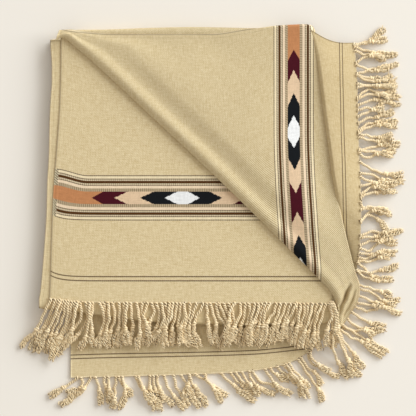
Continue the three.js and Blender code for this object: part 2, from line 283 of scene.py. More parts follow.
PAIR_LINES = (37.4, 44.6)  # the pair of dark picks, from the hem
LOZENGE_AT = 200.0  # middle of the first white lozenge, from the selvedge
REPEAT = 243.7  # from one white lozenge to the next
ROW_STEP = 1.35  # one step of the tapestry's edges, across the band
WARP_STEP = 1.9  # and along it
TWILL_PITCH = 2.8


def sand_twill(name, far_ribs=0.4, tint=(1.0, 1.0, 1.0)):
    """Sand wool twill with its woven band, drawn by the cloth's own coordinates.
    far_ribs is how clearly its ribs show far from the selvedge, and tint multiplies its sand;
    on the end strip that is painted shade."""
    dye = Dye(name)
    weave = dye.node("ShaderNodeAttribute", {}, attribute_name="weave").outputs["Vector"]
    parts = dye.node("ShaderNodeSeparateXYZ", {0: weave}).outputs
    across, along, rim = (dye.times(part, 1 / MM) for part in parts)

    # Yarn: clouds where the fleece took the colour unevenly, and slubs along weft and warp.
    clouds = dye.noise(weave, 22.0, 3.0, 0.6)
    weft = dye.noise(dye.stretched(weave, (110.0, 680.0, 1.0)), 1.0, 2.0)
    warp = dye.noise(dye.stretched(weave, (600.0, 100.0, 1.0)), 1.0, 2.0)
    fibre = dye.noise(weave, 420.0, 2.0, 0.7)
    slubs = dye.noise(dye.stretched(weave, (60.0, 450.0, 1.0)), 1.0, 2.0, 0.6)
    ends = dye.noise(dye.stretched(weave, (400.0, 52.0, 1.0)), 1.0, 2.0, 0.6)
    yarn = dye.plus(dye.times(weft, 0.22), dye.times(warp, 0.2))
    yarn = dye.plus(yarn, dye.times(fibre, 0.2))
    yarn = dye.plus(yarn, dye.plus(dye.times(slubs, 0.22), dye.times(ends, 0.16)))
    slope = dye.plus(across, along)
    wander = dye.times(dye.noise(weave, 60.0, 1.0), 1.6)
    turns = dye.times(dye.plus(slope, wander), math.tau / (TWILL_PITCH * math.sqrt(2)))
    off = dye.math("ABSOLUTE", dye.math("SUBTRACT", along, BAND_MIDDLE))
    in_band = dye.span(off, STRIPES[-1][0] + 0.2, STRIPES[-1][0] - 0.2)
    clear = dye.math("MULTIPLY_ADD", dye.span(across, 190.0, 380.0), far_ribs - 0.16, 0.16)
    clear = dye.times(clear, dye.math("MULTIPLY_ADD", in_band, -0.8, 1.0))
    ribs = dye.times(dye.math("SINE", turns), clear)
    tone = dye.span(dye.math("MULTIPLY_ADD", ribs, 0.03, yarn), 0.4, 0.64)
    ground = dye.mix(tone, DEEP_SAND, PALE_SAND)
    ground = dye.mix(dye.span(clouds, 0.3, 0.75), ground, dye.mix(0.3, ground, SAND))
    ground = dye.mix(1.0, ground, (*tint, 1), "MULTIPLY")

    # Selvedge: a brown line at the very edge, partly a warp end and partly a painted shadow line, a fainter
    # brown warp end further in, and a pale rim all round, partly pale yarn and partly a painted highlight.
    ground = dye.mix(dye.times(dye.span(rim, 1.9, 0.9), 0.22), ground, RIM_YARN_AND_HIGHLIGHT)
    for place, half, share in SELVEDGE_ENDS_AND_EDGE_SHADOW:
        ground = dye.mix(dye.times(dye.line(across, place, half, 0.25), share), ground, THICK_BROWN)

    # The pair of dark picks, beaded where each dips under a warp end.
    beads = dye.math("MULTIPLY_ADD", dye.math("SINE", dye.times(across, math.tau / BEAD)), 0.5, 0.5)
    beaded = dye.math("MULTIPLY_ADD", beads, 0.3, 0.68)
    for place in PAIR_LINES:
        ground = dye.mix(dye.times(dye.line(along, place, 1.05, 0.3), beaded), ground, DARK_BROWN)

    # The stripes of the band, the same on both sides of its middle.
    reaches, yarns, dashed = zip(*STRIPES)
    starts = [place / STRIPES_REACH for place in (MOTIF_HALF, *reaches[:-1])]
    place = dye.math("DIVIDE", off, STRIPES_REACH)
    dashes = dye.steps(place, starts, [(1, 1, 1, 1) if mark else (0, 0, 0, 1) for mark in dashed])
    sunk = dye.span(beads, 0.45, 0.1)
    stripe = dye.steps(place, starts, yarns)
    stripe = dye.mix(dye.times(dashes, dye.times(beads, 0.42)), stripe, CREAM)
    stripe = dye.mix(dye.times(dashes, dye.times(sunk, 0.5)), stripe, DARK_BROWN)

    # The tapestry row of lozenges, with stepped edges.
    stepped = dye.times(dye.math("ROUND", dye.math("DIVIDE", off, ROW_STEP)), ROW_STEP / MOTIF_HALF)
    from_lozenge = dye.math("SUBTRACT", across, LOZENGE_AT)
    half_turn = dye.plus(from_lozenge, REPEAT / 2)
    in_repeat = dye.math("FLOORED_MODULO", half_turn, REPEAT)
    wrapped = dye.math("ABSOLUTE", dye.math("SUBTRACT", in_repeat, REPEAT / 2))
    reach = dye.times(dye.math("ROUND", dye.math("DIVIDE", wrapped, WARP_STEP)), WARP_STEP)
    motif = MAROON
    for tip, shoulder, colour in LOZENGES:
        limit = dye.math("MULTIPLY_ADD", stepped, shoulder - tip, tip)
        motif = dye.mix(dye.math("LESS_THAN", reach, limit), motif, colour)
    before = dye.times(from_lozenge, -1.0)
    arrow_limit = dye.math("MULTIPLY_ADD", stepped, ARROW_SHOULDER - ARROW_TIP, ARROW_TIP)
    arrow = dye.mix(dye.math("GREATER_THAN", before, arrow_limit), MAROON, ORANGE)
    motif = dye.mix(dye.math("GREATER_THAN", before, REPEAT / 2), motif, arrow)
    band = dye.mix(dye.math("LESS_THAN", off, MOTIF_HALF), stripe, motif)

    # Where the band's colours turn round the selvedge, they float as black and white dashes.
    slant = dye.plus(along, dye.times(across, 0.9))
    floats = dye.math("GREATER_THAN", dye.math("SINE", dye.times(slant, math.tau / FLOAT)), 0.0)
    knots = dye.mix(floats, BLACK, CREAM)
    by_selvedge = dye.math("LESS_THAN", across, FLOATS_REACH)
    at_edge = dye.times(by_selvedge, dye.math("GREATER_THAN", off, MOTIF_HALF + 1))
    band = dye.mix(at_edge, band, knots)
    worn = dye.mix(1.0, band, dye.mix(tone, (0.84, 0.84, 0.84, 1), (1.1, 1.1, 1.1, 1)), "MULTIPLY")
    colour = dye.mix(in_band, ground, worn)
    height = dye.plus(dye.times(ribs, 0.3), dye.times(yarn, 1.1))
    nap = {
        "Base Color": colour,
        "Roughness": dye.math("MULTIPLY_ADD", fibre, 0.14, 0.8),
        "Specular IOR Level": 0.12,
        "Sheen Weight": 0.05,
        "Sheen Roughness": 0.5,
        "Sheen Tint": PALE_SAND,
    }
    return dye.finish(nap, {"Strength": 0.75, "Distance": 0.0008, "Height": height})


cloth = sand_twill("sand twill")

LOWER_HEM = ((-243.5, -273), (-141, -270.5), (-21, -267), (45, -263.5), (89, -258.5), (122, -251),
             (144, -243), (162, -231.5), (181, -217), (196, -196), (204, -170))
LOWER_TUCK = -152.0
LOWER_LINE = ((-244, -240.8), (-193, -239.1), (-21, -235.8), (67, -233), (89, -231.5), (151, -224.8),
              (204, -218))
LINE_STRETCH = 1.12
LOWER_LEFT = -243.5
LOWER_RIGHT = 204.0


def read(table, at):
    """A table of stations and values, read at other places."""
    stations, values = np.array(table, float).T
    return curve(stations, values, at)


def lower_end(name, height, inset):
    """One ply of the end. The under one is inset, so the two edges show."""
    x = LOWER_LEFT + inset + (LOWER_RIGHT - LOWER_LEFT - inset) * spaced(132, 0.3)[None, :]
    hem = read(LOWER_HEM, x) + inset
    share = spaced(40, 0.5, both_ends=False)[:, None]
    y = hem + (LOWER_TUCK - hem) * share
    x = x + 0 * y
    z = height + 0.35 * ripple(x, y, 90, 3) * smooth(0, 30, y - hem)
    along = PAIR_LINES[0] + (y - read(LOWER_LINE, x)) * LINE_STRETCH
    weave = np.stack([x - LOWER_LEFT + 30, along, y - hem], axis=-1)
    piece = ply(name, np.stack([x, y, z], axis=-1)[::-1], weave[::-1])
    return put_on(piece, "lower_end_panel", cloth)


lower_top = lower_end("lower_end_top_ply", 2.5, 0.0)
lower_under = lower_end("lower_end_under_ply", 0.8, 1.1)


# ---------------------------------------------------------------------------------------------------
# The lower fringe: end B's warp ends, gathered in twos, twisted into two-ply cords, knotted, and frayed
# below the knot. They spring from under the hem and lie on the surface, some across others.
# Here is also how any cord is made and how it finds what it lies on.
class Ground:
    """How high the shawl reaches so far above the surface, square by square, in millimetres."""

    STEP = 1.5
    REACH = 360.0

    def __init__(self):
        side = int(2 * self.REACH / self.STEP) + 1
        self.height = np.zeros((side, side))

    def square(self, value):
        number = np.round((np.asarray(value) + self.REACH) / self.STEP).astype(int)
        return np.clip(number, 0, len(self.height) - 1)

    def take(self, piece):
        """Adds a piece of cloth, felt for from above."""
        points = [v.co[:] for v in piece.data.vertices]
        tree = BVHTree.FromPolygons(points, [p.vertices[:] for p in piece.data.polygons])
        plan = np.array(points)[:, :2] / MM
        low_x, low_y = self.square(plan.min(axis=0))
        high_x, high_y = self.square(plan.max(axis=0))
        for i in range(low_x, high_x + 1):
            for j in range(low_y, high_y + 1):
                start = ((i * self.STEP - self.REACH) * MM, (j * self.STEP - self.REACH) * MM, 0.1)
                hit = tree.ray_cast(start, (0, 0, -1))[0]
                if hit is not None:
                    self.height[i, j] = max(self.height[i, j], hit.z / MM)

    def under(self, x, y):
        """The highest that it reaches at the place or on a square beside it."""
        i, j = self.square(x), self.square(y)
        last = len(self.height) - 1
        near = []
        for a in (-1, 0, 1):
            for b in (-1, 0, 1):
                near.append(self.height[np.clip(i + a, 0, last), np.clip(j + b, 0, last)])
        return np.max(near, axis=0)

    def lay(self, x, y, top, half):
        """Adds a cord that lies there, that wide to each side."""
        reach = int(half / self.STEP)
        last = len(self.height) - 1
        for a in range(-reach, reach + 1):
            for b in range(-reach, reach + 1):
                if math.hypot(a, b) * self.STEP <= half:
                    i, j = np.clip(self.square(x) + a, 0, last), np.clip(self.square(y) + b, 0, last)
                    np.maximum.at(self.height, (i, j), top)


ground = Ground()
ground.take(lower_top)

YARN = 1.32  # millimetres, half the thickness of one of a cord's two yarns
YARNS_APART = 1.26  # each yarn's middle from the cord's middle
CORD = YARN + YARNS_APART
TWIST = 7.0  # one whole turn of the two yarns
SLOPE = 0.55  # the steepest that a cord goes down by its own weight
PILED = 6.5  # the most that other cords lift one
POINT_EVERY = 1.25
PARTED = 1.6  # how much further apart the yarns are where they leave the cloth
KNOT_YARN = 1.8
KNOT_REACH = 2.9  # from the cord's middle to the middle of the yarn that is knotted round it
KNOT_LONG = 5.4
BUNCH_STRANDS = 4  # in each of a tassel's two bunches
STRAND_EVERY = 1.15
CRIMP = 0.9  # how far the strands crinkle to each side
HEM_YARN = 0.45
HEM_YARNS_APART = 0.35
HEM_TWIST = 3.6


def gone_along(line):
    """How far along the line each of its points is."""
    return np.concatenate([[0], np.cumsum(np.linalg.norm(np.diff(line, axis=0), axis=1))])


def read_line(way, gone, at):
    """A row of points or directions, one for each place gone along a line, read at other places."""
    return np.stack([np.interp(at, gone, way[:, k]) for k in range(3)], axis=-1)


class Fringe:
    """The yarns of one fringe, gathered into one joined mesh.

    slope is the steepest that its cords go down, turn the length of one turn of their yarns, fat how thick
    they are beside a plain cord, and the last how light the painted crease shade between two yarns stays.
    """

    def __init__(self, seed, slope=SLOPE, turn=TWIST, fat=1.0, painted_crease_lift=0.0):
        self.rng = np.random.default_rng(seed)
        self.fat = fat
        self.painted_crease_lift = painted_crease_lift
        self.slope = slope
        self.turn = turn
        self.base = ground.height.copy()
        self.points = []
        self.marks = []
        self.faces = []
        self.count = 0

    def yarn(self, line, thick, out, sides, painted_shade_lift=0.0):
        """A round yarn along the line. out points away from its cord, for the painted shade between yarns;
        the last argument is how light that painted shade stays at its darkest.
        """
        ahead, aside, above, travelled = self.frame(line)
        travelled = travelled + self.rng.uniform(0, 900)
        angle = np.linspace(0, math.tau, sides, endpoint=False)[None, :, None]
        facing = aside[:, None] * np.cos(angle) + above[:, None] * np.sin(angle)
        ring = line[:, None] + facing * thick[:, None, None]
        # Painted shade: the side of each yarn that faces its cord's middle is marked for the dark crease
        # colour.
        clear_of_painted_shade = 0.5 + 0.5 * (facing * out[:, None]).sum(axis=-1)
        clear_of_painted_shade = painted_shade_lift + (1 - painted_shade_lift) * clear_of_painted_shade
        along = travelled[:, None] + 0 * clear_of_painted_shade
        mark = np.stack([along, angle[..., 0] * thick[:, None], clear_of_painted_shade], axis=-1)
        tips = np.stack([line[0] - ahead[0] * thick[0] * 0.7, line[-1] + ahead[-1] * thick[-1] * 0.7])
        tip_marks = np.array([[travelled[0], 0, 0.5], [travelled[-1], 0, 0.5]])
        rings = len(line)
        index = self.count + np.arange(rings * sides).reshape(rings, sides)
        onward = np.roll(index, -1, axis=1)
        walls = np.stack([index[:-1], index[1:], onward[1:], onward[:-1]], axis=-1).reshape(-1, 4)
        first, last = self.count + rings * sides, self.count + rings * sides + 1
        self.faces += walls.tolist()
        self.faces += [[first, int(a), int(b)] for a, b in zip(index[0], onward[0])]
        self.faces += [[last, int(b), int(a)] for a, b in zip(index[-1], onward[-1])]
        self.points += [ring.reshape(-1, 3), tips]
        self.marks += [mark.reshape(-1, 3), tip_marks]
        self.count += rings * sides + 2

    def twist(self, line, thick, apart, turn, sides=6, split=0.0):
        """Two yarns twisted round the line. At the root they part by split, as they leave the cloth."""
        ahead, aside, above, travelled = self.frame(line)
        start = self.rng.uniform(-0.4, 0.4)
        for half in (0.0, math.pi):
            angle = start + half + travelled * math.tau / turn
            out = aside * np.cos(angle)[:, None] + above * np.sin(angle)[:, None]
            far = apart + split * np.exp(-travelled / 2.4)
            self.yarn(line + out * far[:, None], thick + 0 * travelled, out, sides, self.painted_crease_lift)

    def frame(self, line):
        """Ahead, aside and above at each point of the line, and how far along it the point is."""
        ahead = unit(np.gradient(line, axis=0))
        aside = unit(np.cross(ahead, (0.0, 0.0, 1.0)))
        return ahead, aside, np.cross(aside, ahead), gone_along(line)

    def knot(self, line, at):
        """An overhand knot: a turn and a half of the cord round itself, pulled tight, a little aslant."""
        ahead, aside, above, travelled = self.frame(line)
        turns = self.rng.uniform(1.5, 1.9)
        angle = np.linspace(0, turns * math.tau, 22)
        middle = travelled[at] + (angle / angle[-1] - 0.5) * KNOT_LONG + 1.1 * np.cos(angle + 0.6)
        centre, side, up = (read_line(way, travelled, middle) for way in (line, aside, above))
        far = KNOT_REACH * np.sin(np.linspace(0.12, math.pi - 0.12, 22)) ** 0.5
        out = side * np.cos(angle)[:, None] + up * 0.8 * np.sin(angle)[:, None]
        # The knot's painted crease shade stays a little lighter.
        self.yarn(centre + out * far[:, None], KNOT_YARN + 0 * angle, out, 7, 0.2)

    def tassel(self, line, spread):
        """The frayed end: two soft bunches of tightly crinkled strands, blunt and uneven at the tip."""
        ahead, aside, above, travelled = self.frame(line)
        length = travelled[-1]
        for bunch in (-1.0, 1.0):
            sway = self.rng.uniform(-1.4, 1.4)
            sway = sway * np.sin(travelled / length * math.pi * self.rng.uniform(0.8, 1.6))
            part = bunch * (0.7 + spread * smooth(0, 0.55 * length, travelled))
            part = part + sway * smooth(0, 8, travelled)
            turn = self.rng.uniform(12, 20)
            start = self.rng.uniform(0, math.tau)
            for strand in range(BUNCH_STRANDS):
                reach = length * self.rng.uniform(0.88, 1.03)
                step = np.linspace(0, reach, max(int(reach / STRAND_EVERY), 8))
                centre, side, up = (read_line(way, travelled, step) for way in (line, aside, above))
                round_bunch = start + strand * math.tau / BUNCH_STRANDS + step * math.tau / turn
                end = smooth(0.72 * length, length, step)
                swell = (1.0 + 1.15 * smooth(0, 9, step)) * (1 - 0.35 * end)
                crimp = CRIMP * smooth(1, 6, step)
                curls = step * math.tau / self.rng.uniform(4.8, 7.0) + self.rng.uniform(0, math.tau)
                hook = self.rng.uniform(-2.2, 2.2) * end ** 2
                off = np.interp(step, travelled, part) + swell * np.cos(round_bunch)
                off = off + crimp * np.cos(curls) + hook
                high = 0.8 * swell * np.sin(round_bunch) + crimp * np.sin(curls)
                thick = self.rng.uniform(0.85, 1.1) * (1 - 0.25 * smooth(0.85 * reach, reach, step))
                run = centre + side * off[:, None] + up * high[:, None]
                run[:, 2] = np.maximum(run[:, 2], self.under_cords(run[:, 0], run[:, 1]) + 1.1)
                out = side * np.cos(round_bunch)[:, None] + up * np.sin(round_bunch)[:, None]
                # The strands' painted crease shade stays lighter than the cords'.
                self.yarn(run, thick, out, 5, 0.36)

    def under_cords(self, x, y):
        """How high the cloth reaches there, without the fringe's own cords."""
        return self.base[ground.square(x), ground.square(y)]

    def rest(self, x, y, clear, root_z):
        """Heights of a cord's middle: it lies on what is under it, and spans the drop beside an edge."""
        travelled = gone_along(np.column_stack([x, y]))
        under = np.minimum(ground.under(x, y), self.under_cords(x, y) + PILED)
        reach = np.abs(travelled[:, None] - travelled[None, :]) * self.slope
        height = np.max(under[None, :] - reach, axis=1)
        for _ in range(3):
            padded = np.concatenate([height[:1], height, height[-1:]])
            eased = (padded[:-2] + 2 * padded[1:-1] + padded[2:]) / 4
            height = np.maximum(eased, self.under_cords(x, y))
        height = height + clear
        return height + (root_z - height[0]) * np.exp(-travelled / 5)

    def cord(self, root, way, root_z):
        """One cord, from its root. way has x and y of a place that it passes, of its knot, of its tip."""
        stops = np.array([root, way[:2], way[2:4], way[4:]], float)
        gone = gone_along(stops)
        at = np.linspace(0, gone[-1], int(gone[-1] / POINT_EVERY))
        bend = np.gradient(stops, gone, axis=0)
        i = np.clip(np.searchsorted(gone, at) - 1, 0, 2)
        span = (gone[i + 1] - gone[i])[:, None]
        u = ((at - gone[i])[:, None]) / span
        line = ease(stops[i], stops[i + 1], bend[i] * span, bend[i + 1] * span, u)
        ahead = unit(np.gradient(line, axis=0))
        past_knot = at - gone[2]
        wave = self.rng.uniform(0.5, 1.1)
        wave = wave * np.sin(at * math.tau / self.rng.uniform(15, 27) + self.rng.uniform(0, 6))
        curl = self.rng.uniform(0.6, 1.8) * np.sin(past_knot * math.tau / self.rng.uniform(18, 34))
        wave = wave * smooth(0, 12, at) * (1 - smooth(-6, 0, past_knot)) + curl * smooth(0, 8, past_knot)
        line = line + np.stack([-ahead[:, 1], ahead[:, 0]], axis=-1) * wave[:, None]
        knot_at = int(np.searchsorted(at, gone[2]))
        clear = self.fat * CORD + 0.9 * np.exp(-(past_knot / 4) ** 2)
        height = self.rest(line[:, 0], line[:, 1], clear, root_z)
        line = np.column_stack([line, height])
        turn = self.turn * self.rng.uniform(0.9, 1.12)
        self.twist(line[:knot_at + 1], self.fat * YARN, self.fat * YARNS_APART, turn, split=PARTED)
        self.knot(line, knot_at)
        self.tassel(line[knot_at:], self.rng.uniform(1.2, 2.7))
        ground.lay(line[:knot_at, 0], line[:knot_at, 1], height[:knot_at] + 1.6, 2.0)
        ground.lay(line[knot_at:, 0], line[knot_at:, 1], height[knot_at:] + 1.2, 3.2)

    def hem(self, line):
        """The hem's own fine cord, twined over the last pick to hold it."""
        gone = gone_along(line)
        at = np.linspace(0, gone[-1], int(gone[-1] / 0.9))
        self.twist(read_line(line, gone, at), HEM_YARN, HEM_YARNS_APART, HEM_TWIST, sides=5)

    def piece(self, name, node):
        points = np.concatenate(self.points) * MM
        marks = np.concatenate(self.marks) * MM
        return put_on(mesh_piece(name, points, self.faces, marks), node, cord_wool)


def twisted_wool(name):
    """The cords' wool: paler than the cloth, streaked along its fibres, with painted shade where the yarns
    meet.
    """
    dye = Dye(name)
    weave = dye.node("ShaderNodeAttribute", {}, attribute_name="weave").outputs["Vector"]
    clear_of_painted_shade = dye.times(dye.node("ShaderNodeSeparateXYZ", {0: weave}).outputs[2], 1 / MM)
    streaks = dye.noise(dye.stretched(weave, (170.0, 1300.0, 0.0)), 1.0, 3.0, 0.6)
    lengths = dye.noise(dye.stretched(weave, (22.0, 30.0, 0.0)), 1.0, 1.0)
    tone = dye.plus(dye.times(streaks, 0.65), dye.times(lengths, 0.35))
    colour = dye.mix(dye.span(tone, 0.34, 0.66), CORD_DEEP, CORD_PALE)
    # Painted shade: where a yarn faces its partner it takes the dark crease colour.
    colour = dye.mix(dye.span(clear_of_painted_shade, 0.78, 0.36), colour, dye.mix(0.85, colour, CORD_PAINTED_SHADE))
    nap = {
        "Base Color": colour,
        "Roughness": 0.85,
        "Specular IOR Level": 0.25,
        "Sheen Weight": 0.1,
        "Sheen Roughness": 0.5,
    }
    return dye.finish(nap, {"Strength": 0.6, "Distance": 0.0005, "Height": streaks})


CORD_PALE = shade(254, 238, 203)
CORD_DEEP = shade(232, 202, 151)
# The dark of the painted shade in the creases between yarns.
CORD_PAINTED_SHADE = shade(84, 50, 18)
cord_wool = twisted_wool("twisted wool")

LOWER_CORDS = (
    # root x, then x and y on its way, at its knot and at its tip
    (-231, -243, -283, -256, -290, -281, -307), (-227, -223, -282, -226, -290, -252, -300),
    (-208, -216, -285, -221, -292, -263, -322), (-202, -196, -285, -195, -294, -190, -321),
    (-185, -186, -280, -183, -288, -178, -320), (-179, -178, -283, -178, -292, -172, -310),
    (-165, -167, -291, -168, -309, -171, -328), (-162, -156, -283, -149, -289, -138, -307),
    (-155, -151, -288, -150, -299, -159, -330), (-132, -125, -287, -113, -299, -96, -330),
    (-127, -124, -280, -119, -291, -102, -318), (-107, -107, -281, -107, -291, -84, -330),
    (-101, -100, -284, -98, -294, -81, -316), (-94, -94, -281, -91, -291, -66, -324),
    (-83, -77, -288, -66, -305, -46, -329), (-66, -62, -288, -52, -305, -39, -324),
    (-54, -48, -278, -43, -285, -22, -327), (-37, -40, -278, -42, -286, -49, -306),
    (-40, -36, -279, -30, -288, -7, -322), (-31, -11, -278, 2, -288, 28, -306),
    (-12, -9, -277, 2, -291, 19, -317), (15, 26, -277, 37, -286, 75, -316),
    (31, 41, -277, 52, -286, 71, -305), (40, 50, -277, 61, -286, 84, -304),
    (51, 58, -276, 66, -285, 80, -300), (64, 68, -276, 78, -288, 110, -303),
    (69, 82, -279, 104, -286, 118, -296), (91, 98, -269, 110, -285, 138, -304),
    (100, 105, -263, 112, -268, 134, -278), (111, 121, -263, 131, -270, 148, -284),
    (123, 135, -266, 149, -284, 156, -306), (127, 139, -266, 152, -281, 165, -311),
    (132, 142, -261, 154, -275, 169, -292), (148, 164, -265, 183, -293, 192, -315),
    (153, 163, -254, 177, -264, 190, -287), (166, 169, -245, 187, -256, 221, -274),
    (169, 173, -241, 184, -251, 206, -263),
)
lower_fringe = Fringe(31)
lower_hem_x = np.linspace(-243, 203, 400)
lower_fringe.hem(np.stack([lower_hem_x, read(LOWER_HEM, lower_hem_x), 2.5 + 0 * lower_hem_x], axis=-1))
for root_x, *way in LOWER_CORDS:
    root_y = float(read(LOWER_HEM, np.array([root_x]))[0]) + 0.5
    lower_fringe.cord((root_x, root_y), way, 2.2)
lower_cords = lower_fringe.piece("lower_fringe_cords", "lower_fringe")


# ---------------------------------------------------------------------------------------------------
# The hidden layers: six plies of the same length, folded back and forth under the two that show.
# The outer length wraps the lower fold, the inner one lies inside it, and their selvedges lie at the left.
STACK_LEFT = ((-177, -297.5), (-149, -297.2), (-137, -297.2), (-125, -295), (-91, -291.5), (-20, -286.7),
              (23, -284.5), (68, -283.3), (102, -281), (205, -277.4), (238, -275.4), (264, -275.4),
              (293, -277.4), (330, -280))
STACK_RIGHT = ((-180, 211), (-160, 215), (-120, 216), (-36, 217), (119, 221.5), (200, 221), (262, 217),
               (330, 196))
STACK_LOWER = ((-300, -143), (-292, -147.5), (-280, -149.5), (-261, -151), (-201, -158.5), (-124, -169),
               (-21, -175.5), (100, -176.5), (190, -175.5), (216, -170))
STACK_TOP = ((-300, 306.5), (-281, 308), (-262, 309.5), (-254, 321), (-246, 324.5), (-175, 325),
             (-21, 326.5), (91, 327.5), (150, 325), (182, 310), (215, 296))
ROUGH_LEFT = -290  # where a place across the stack is first guessed, before its slanting sides are read
ROUGH_RIGHT = 215
STRETCH = 500  # from one fold to the next
PAST_BAND = 560  # so far from the hem that the cloth is plain
INSIDE = 30  # far from any finished edge
RIMS_MEET = 1.35  # how far each ply bends to the other where they are folded together
ROUNDED = 4.5


def folded_length(name, levels, tuck, slip, seed):
    """Three stretches of one ply, folded at the bottom and then at the top of the stack. tuck is how far
    it lies inside the outer one at the folds, and slip how far at the sides."""
    count = 30
    down = 1 - spaced(count, 0.75)
    turn = np.linspace(0, math.pi, 8)[1:-1]
    share = []
    height = []
    beyond = []
    for k, level in enumerate(levels):
        run = down if k % 2 == 0 else 1 - down
        share += list(run)
        height += [level] * count
        beyond += [0.0] * count
        if k + 1 < len(levels):
            radius = (level - levels[k + 1]) / 2
            share += [run[-1]] * len(turn)
            height += list(level - radius + radius * np.cos(turn))
            beyond += list((1 if k % 2 else -1) * radius * np.sin(turn))
    share, height, beyond = (np.array(v)[:, None] for v in (share, height, beyond))
    near_left = np.linspace(0, 0.06, 12)
    between = np.linspace(0.06, 0.97, 26)[1:]
    near_right = np.linspace(0.97, 1, 6)[1:]
    q = np.concatenate([near_left, between, near_right])[None, :]
    start_x = ROUGH_LEFT + (ROUGH_RIGHT - ROUGH_LEFT) * q
    lower = read(STACK_LOWER, start_x) + tuck
    top = read(STACK_TOP, start_x) - tuck
    y = lower + (top - lower) * share + beyond
    wave = 0.6 * np.sin(y / 47 + seed) + 0.35 * np.sin(y / 19 + 2.1 * seed)
    left = read(STACK_LEFT, y) + slip + wave * 0.5
    right = read(STACK_RIGHT, y) - 0.5 * slip
    x = left + (right - left) * q
    z = height + 0 * q
    inward = np.clip((x - left) / 3, 0, 1)
    z = z + 0.25 * ripple(x, y, 80, seed) * inward
    # At the right the two plies are one, folded: there their rims come together.
    meet = RIMS_MEET * (1 if tuck == 0 else -1)
    rounding = 1 - np.sqrt(1 - np.clip(1 - (right - x) / ROUNDED, 0, 1) ** 2)
    z = z - meet * rounding * np.where(np.abs(beyond) > 0, 0, 1)
    run_on = np.abs(np.diff((share * STRETCH + beyond).ravel()))
    travelled = np.concatenate([[0], np.cumsum(run_on)])[:, None]
    rim = np.minimum(x - left + 0.6, INSIDE)
    weave = np.stack([x - left, PAST_BAND + travelled + 0 * q, rim], axis=-1)
    piece = ply(name, np.stack([x, y, z], axis=-1)[:, ::-1], weave[:, ::-1], 1.6)
    return put_on(piece, "folded_core", cloth)


outer_length = folded_length("hidden_outer_length", (15.5, 6.75, 3.95), 0.0, 0.0, 1)
inner_length = folded_length("hidden_inner_length", (12.25, 9.45, 1.25), 2.8, 1.6, 2)
for length in (outer_length, inner_length):
    ground.take(length)


# ---------------------------------------------------------------------------------------------------
# The front panel: end A's lower ply, which shows at the left with its selvedge, the band and the hem.
# It is one flat stretch of the cloth, drawn in a little along the selvedge, where the picks ride up.
PANEL_MIDDLE = 17.35
HEM_AT = -143.2  # the hem's usual place, from which the weave is counted
FIRST_LOZENGE_X = -50
PANEL_LEFT = ((-145, -279.5), (-104, -277.6), (-36, -275.6), (33, -273), (88, -269.4), (130, -266),
              (205, -261), (272, -259.5), (318, -260))
PANEL_HEM = ((-286, -136.8), (-268, -138), (-253, -139.2), (-230, -141.8), (-193, -142.9), (-21, -143.6),
             (120, -144.4), (196, -144.8), (206, -141))
PANEL_TOP = 318.0
PANEL_RIGHT = 206.0
PANEL_ROUGH_LEFT = -285
PICKS_RISE = 9.5  # how much the picks ride up at the selvedge below the band, and above it
PICKS_RISE_ABOVE = 11.3

side = np.concatenate([np.linspace(0, 0.022, 9), np.linspace(0.022, 1, 130)[1:]])[None, :]
hem_share = np.concatenate([np.linspace(0, 0.012, 5), np.linspace(0.012, 1, 124)[1:]])[:, None]
rough_x = PANEL_ROUGH_LEFT + (PANEL_RIGHT - PANEL_ROUGH_LEFT) * side
hem_y = read(PANEL_HEM, rough_x)
panel_top = PANEL_TOP - 30 * smooth(120, 200, rough_x)  # lower at the right, under the strip
panel_y = hem_y + (panel_top - hem_y) * hem_share
left_x = read(PANEL_LEFT, panel_y)
panel_x = left_x + (PANEL_RIGHT - left_x) * side
from_left = panel_x - left_x
from_hem = panel_y - read(PANEL_HEM, panel_x)
cord = 0.28 * np.exp(-((from_left - 5.2) / 1.3) ** 2) - 0.12 * np.exp(-((from_left - 8.4) / 1.0) ** 2)
panel_z = PANEL_MIDDLE + cord + 0.3 * ripple(panel_x, panel_y, 110, 5) * smooth(4, 40, from_left)
share_left = np.clip(from_left / np.maximum(FIRST_LOZENGE_X - left_x, 1), 0, 1)
past_lozenge = panel_x - FIRST_LOZENGE_X
drawn = np.where(past_lozenge < 0, LOZENGE_AT * share_left, LOZENGE_AT + past_lozenge / 1.02)
above_band = smooth(150, 210, panel_y - HEM_AT)
rise = PICKS_RISE * np.exp(-from_left / 16) * (1 - above_band)
rise = rise + PICKS_RISE_ABOVE * (1 - smooth(0, 58, from_left)) * above_band
panel_rim = np.minimum(from_hem, from_left + 0.6)
panel_weave = np.stack([drawn, panel_y - HEM_AT - rise, panel_rim], axis=-1)
panel_middle = np.stack([panel_x, panel_y, panel_z], axis=-1)
panel = ply("front_panel_cloth", panel_middle[::-1], panel_weave[::-1])
put_on(panel, "front_panel", cloth)
ground.take(panel)


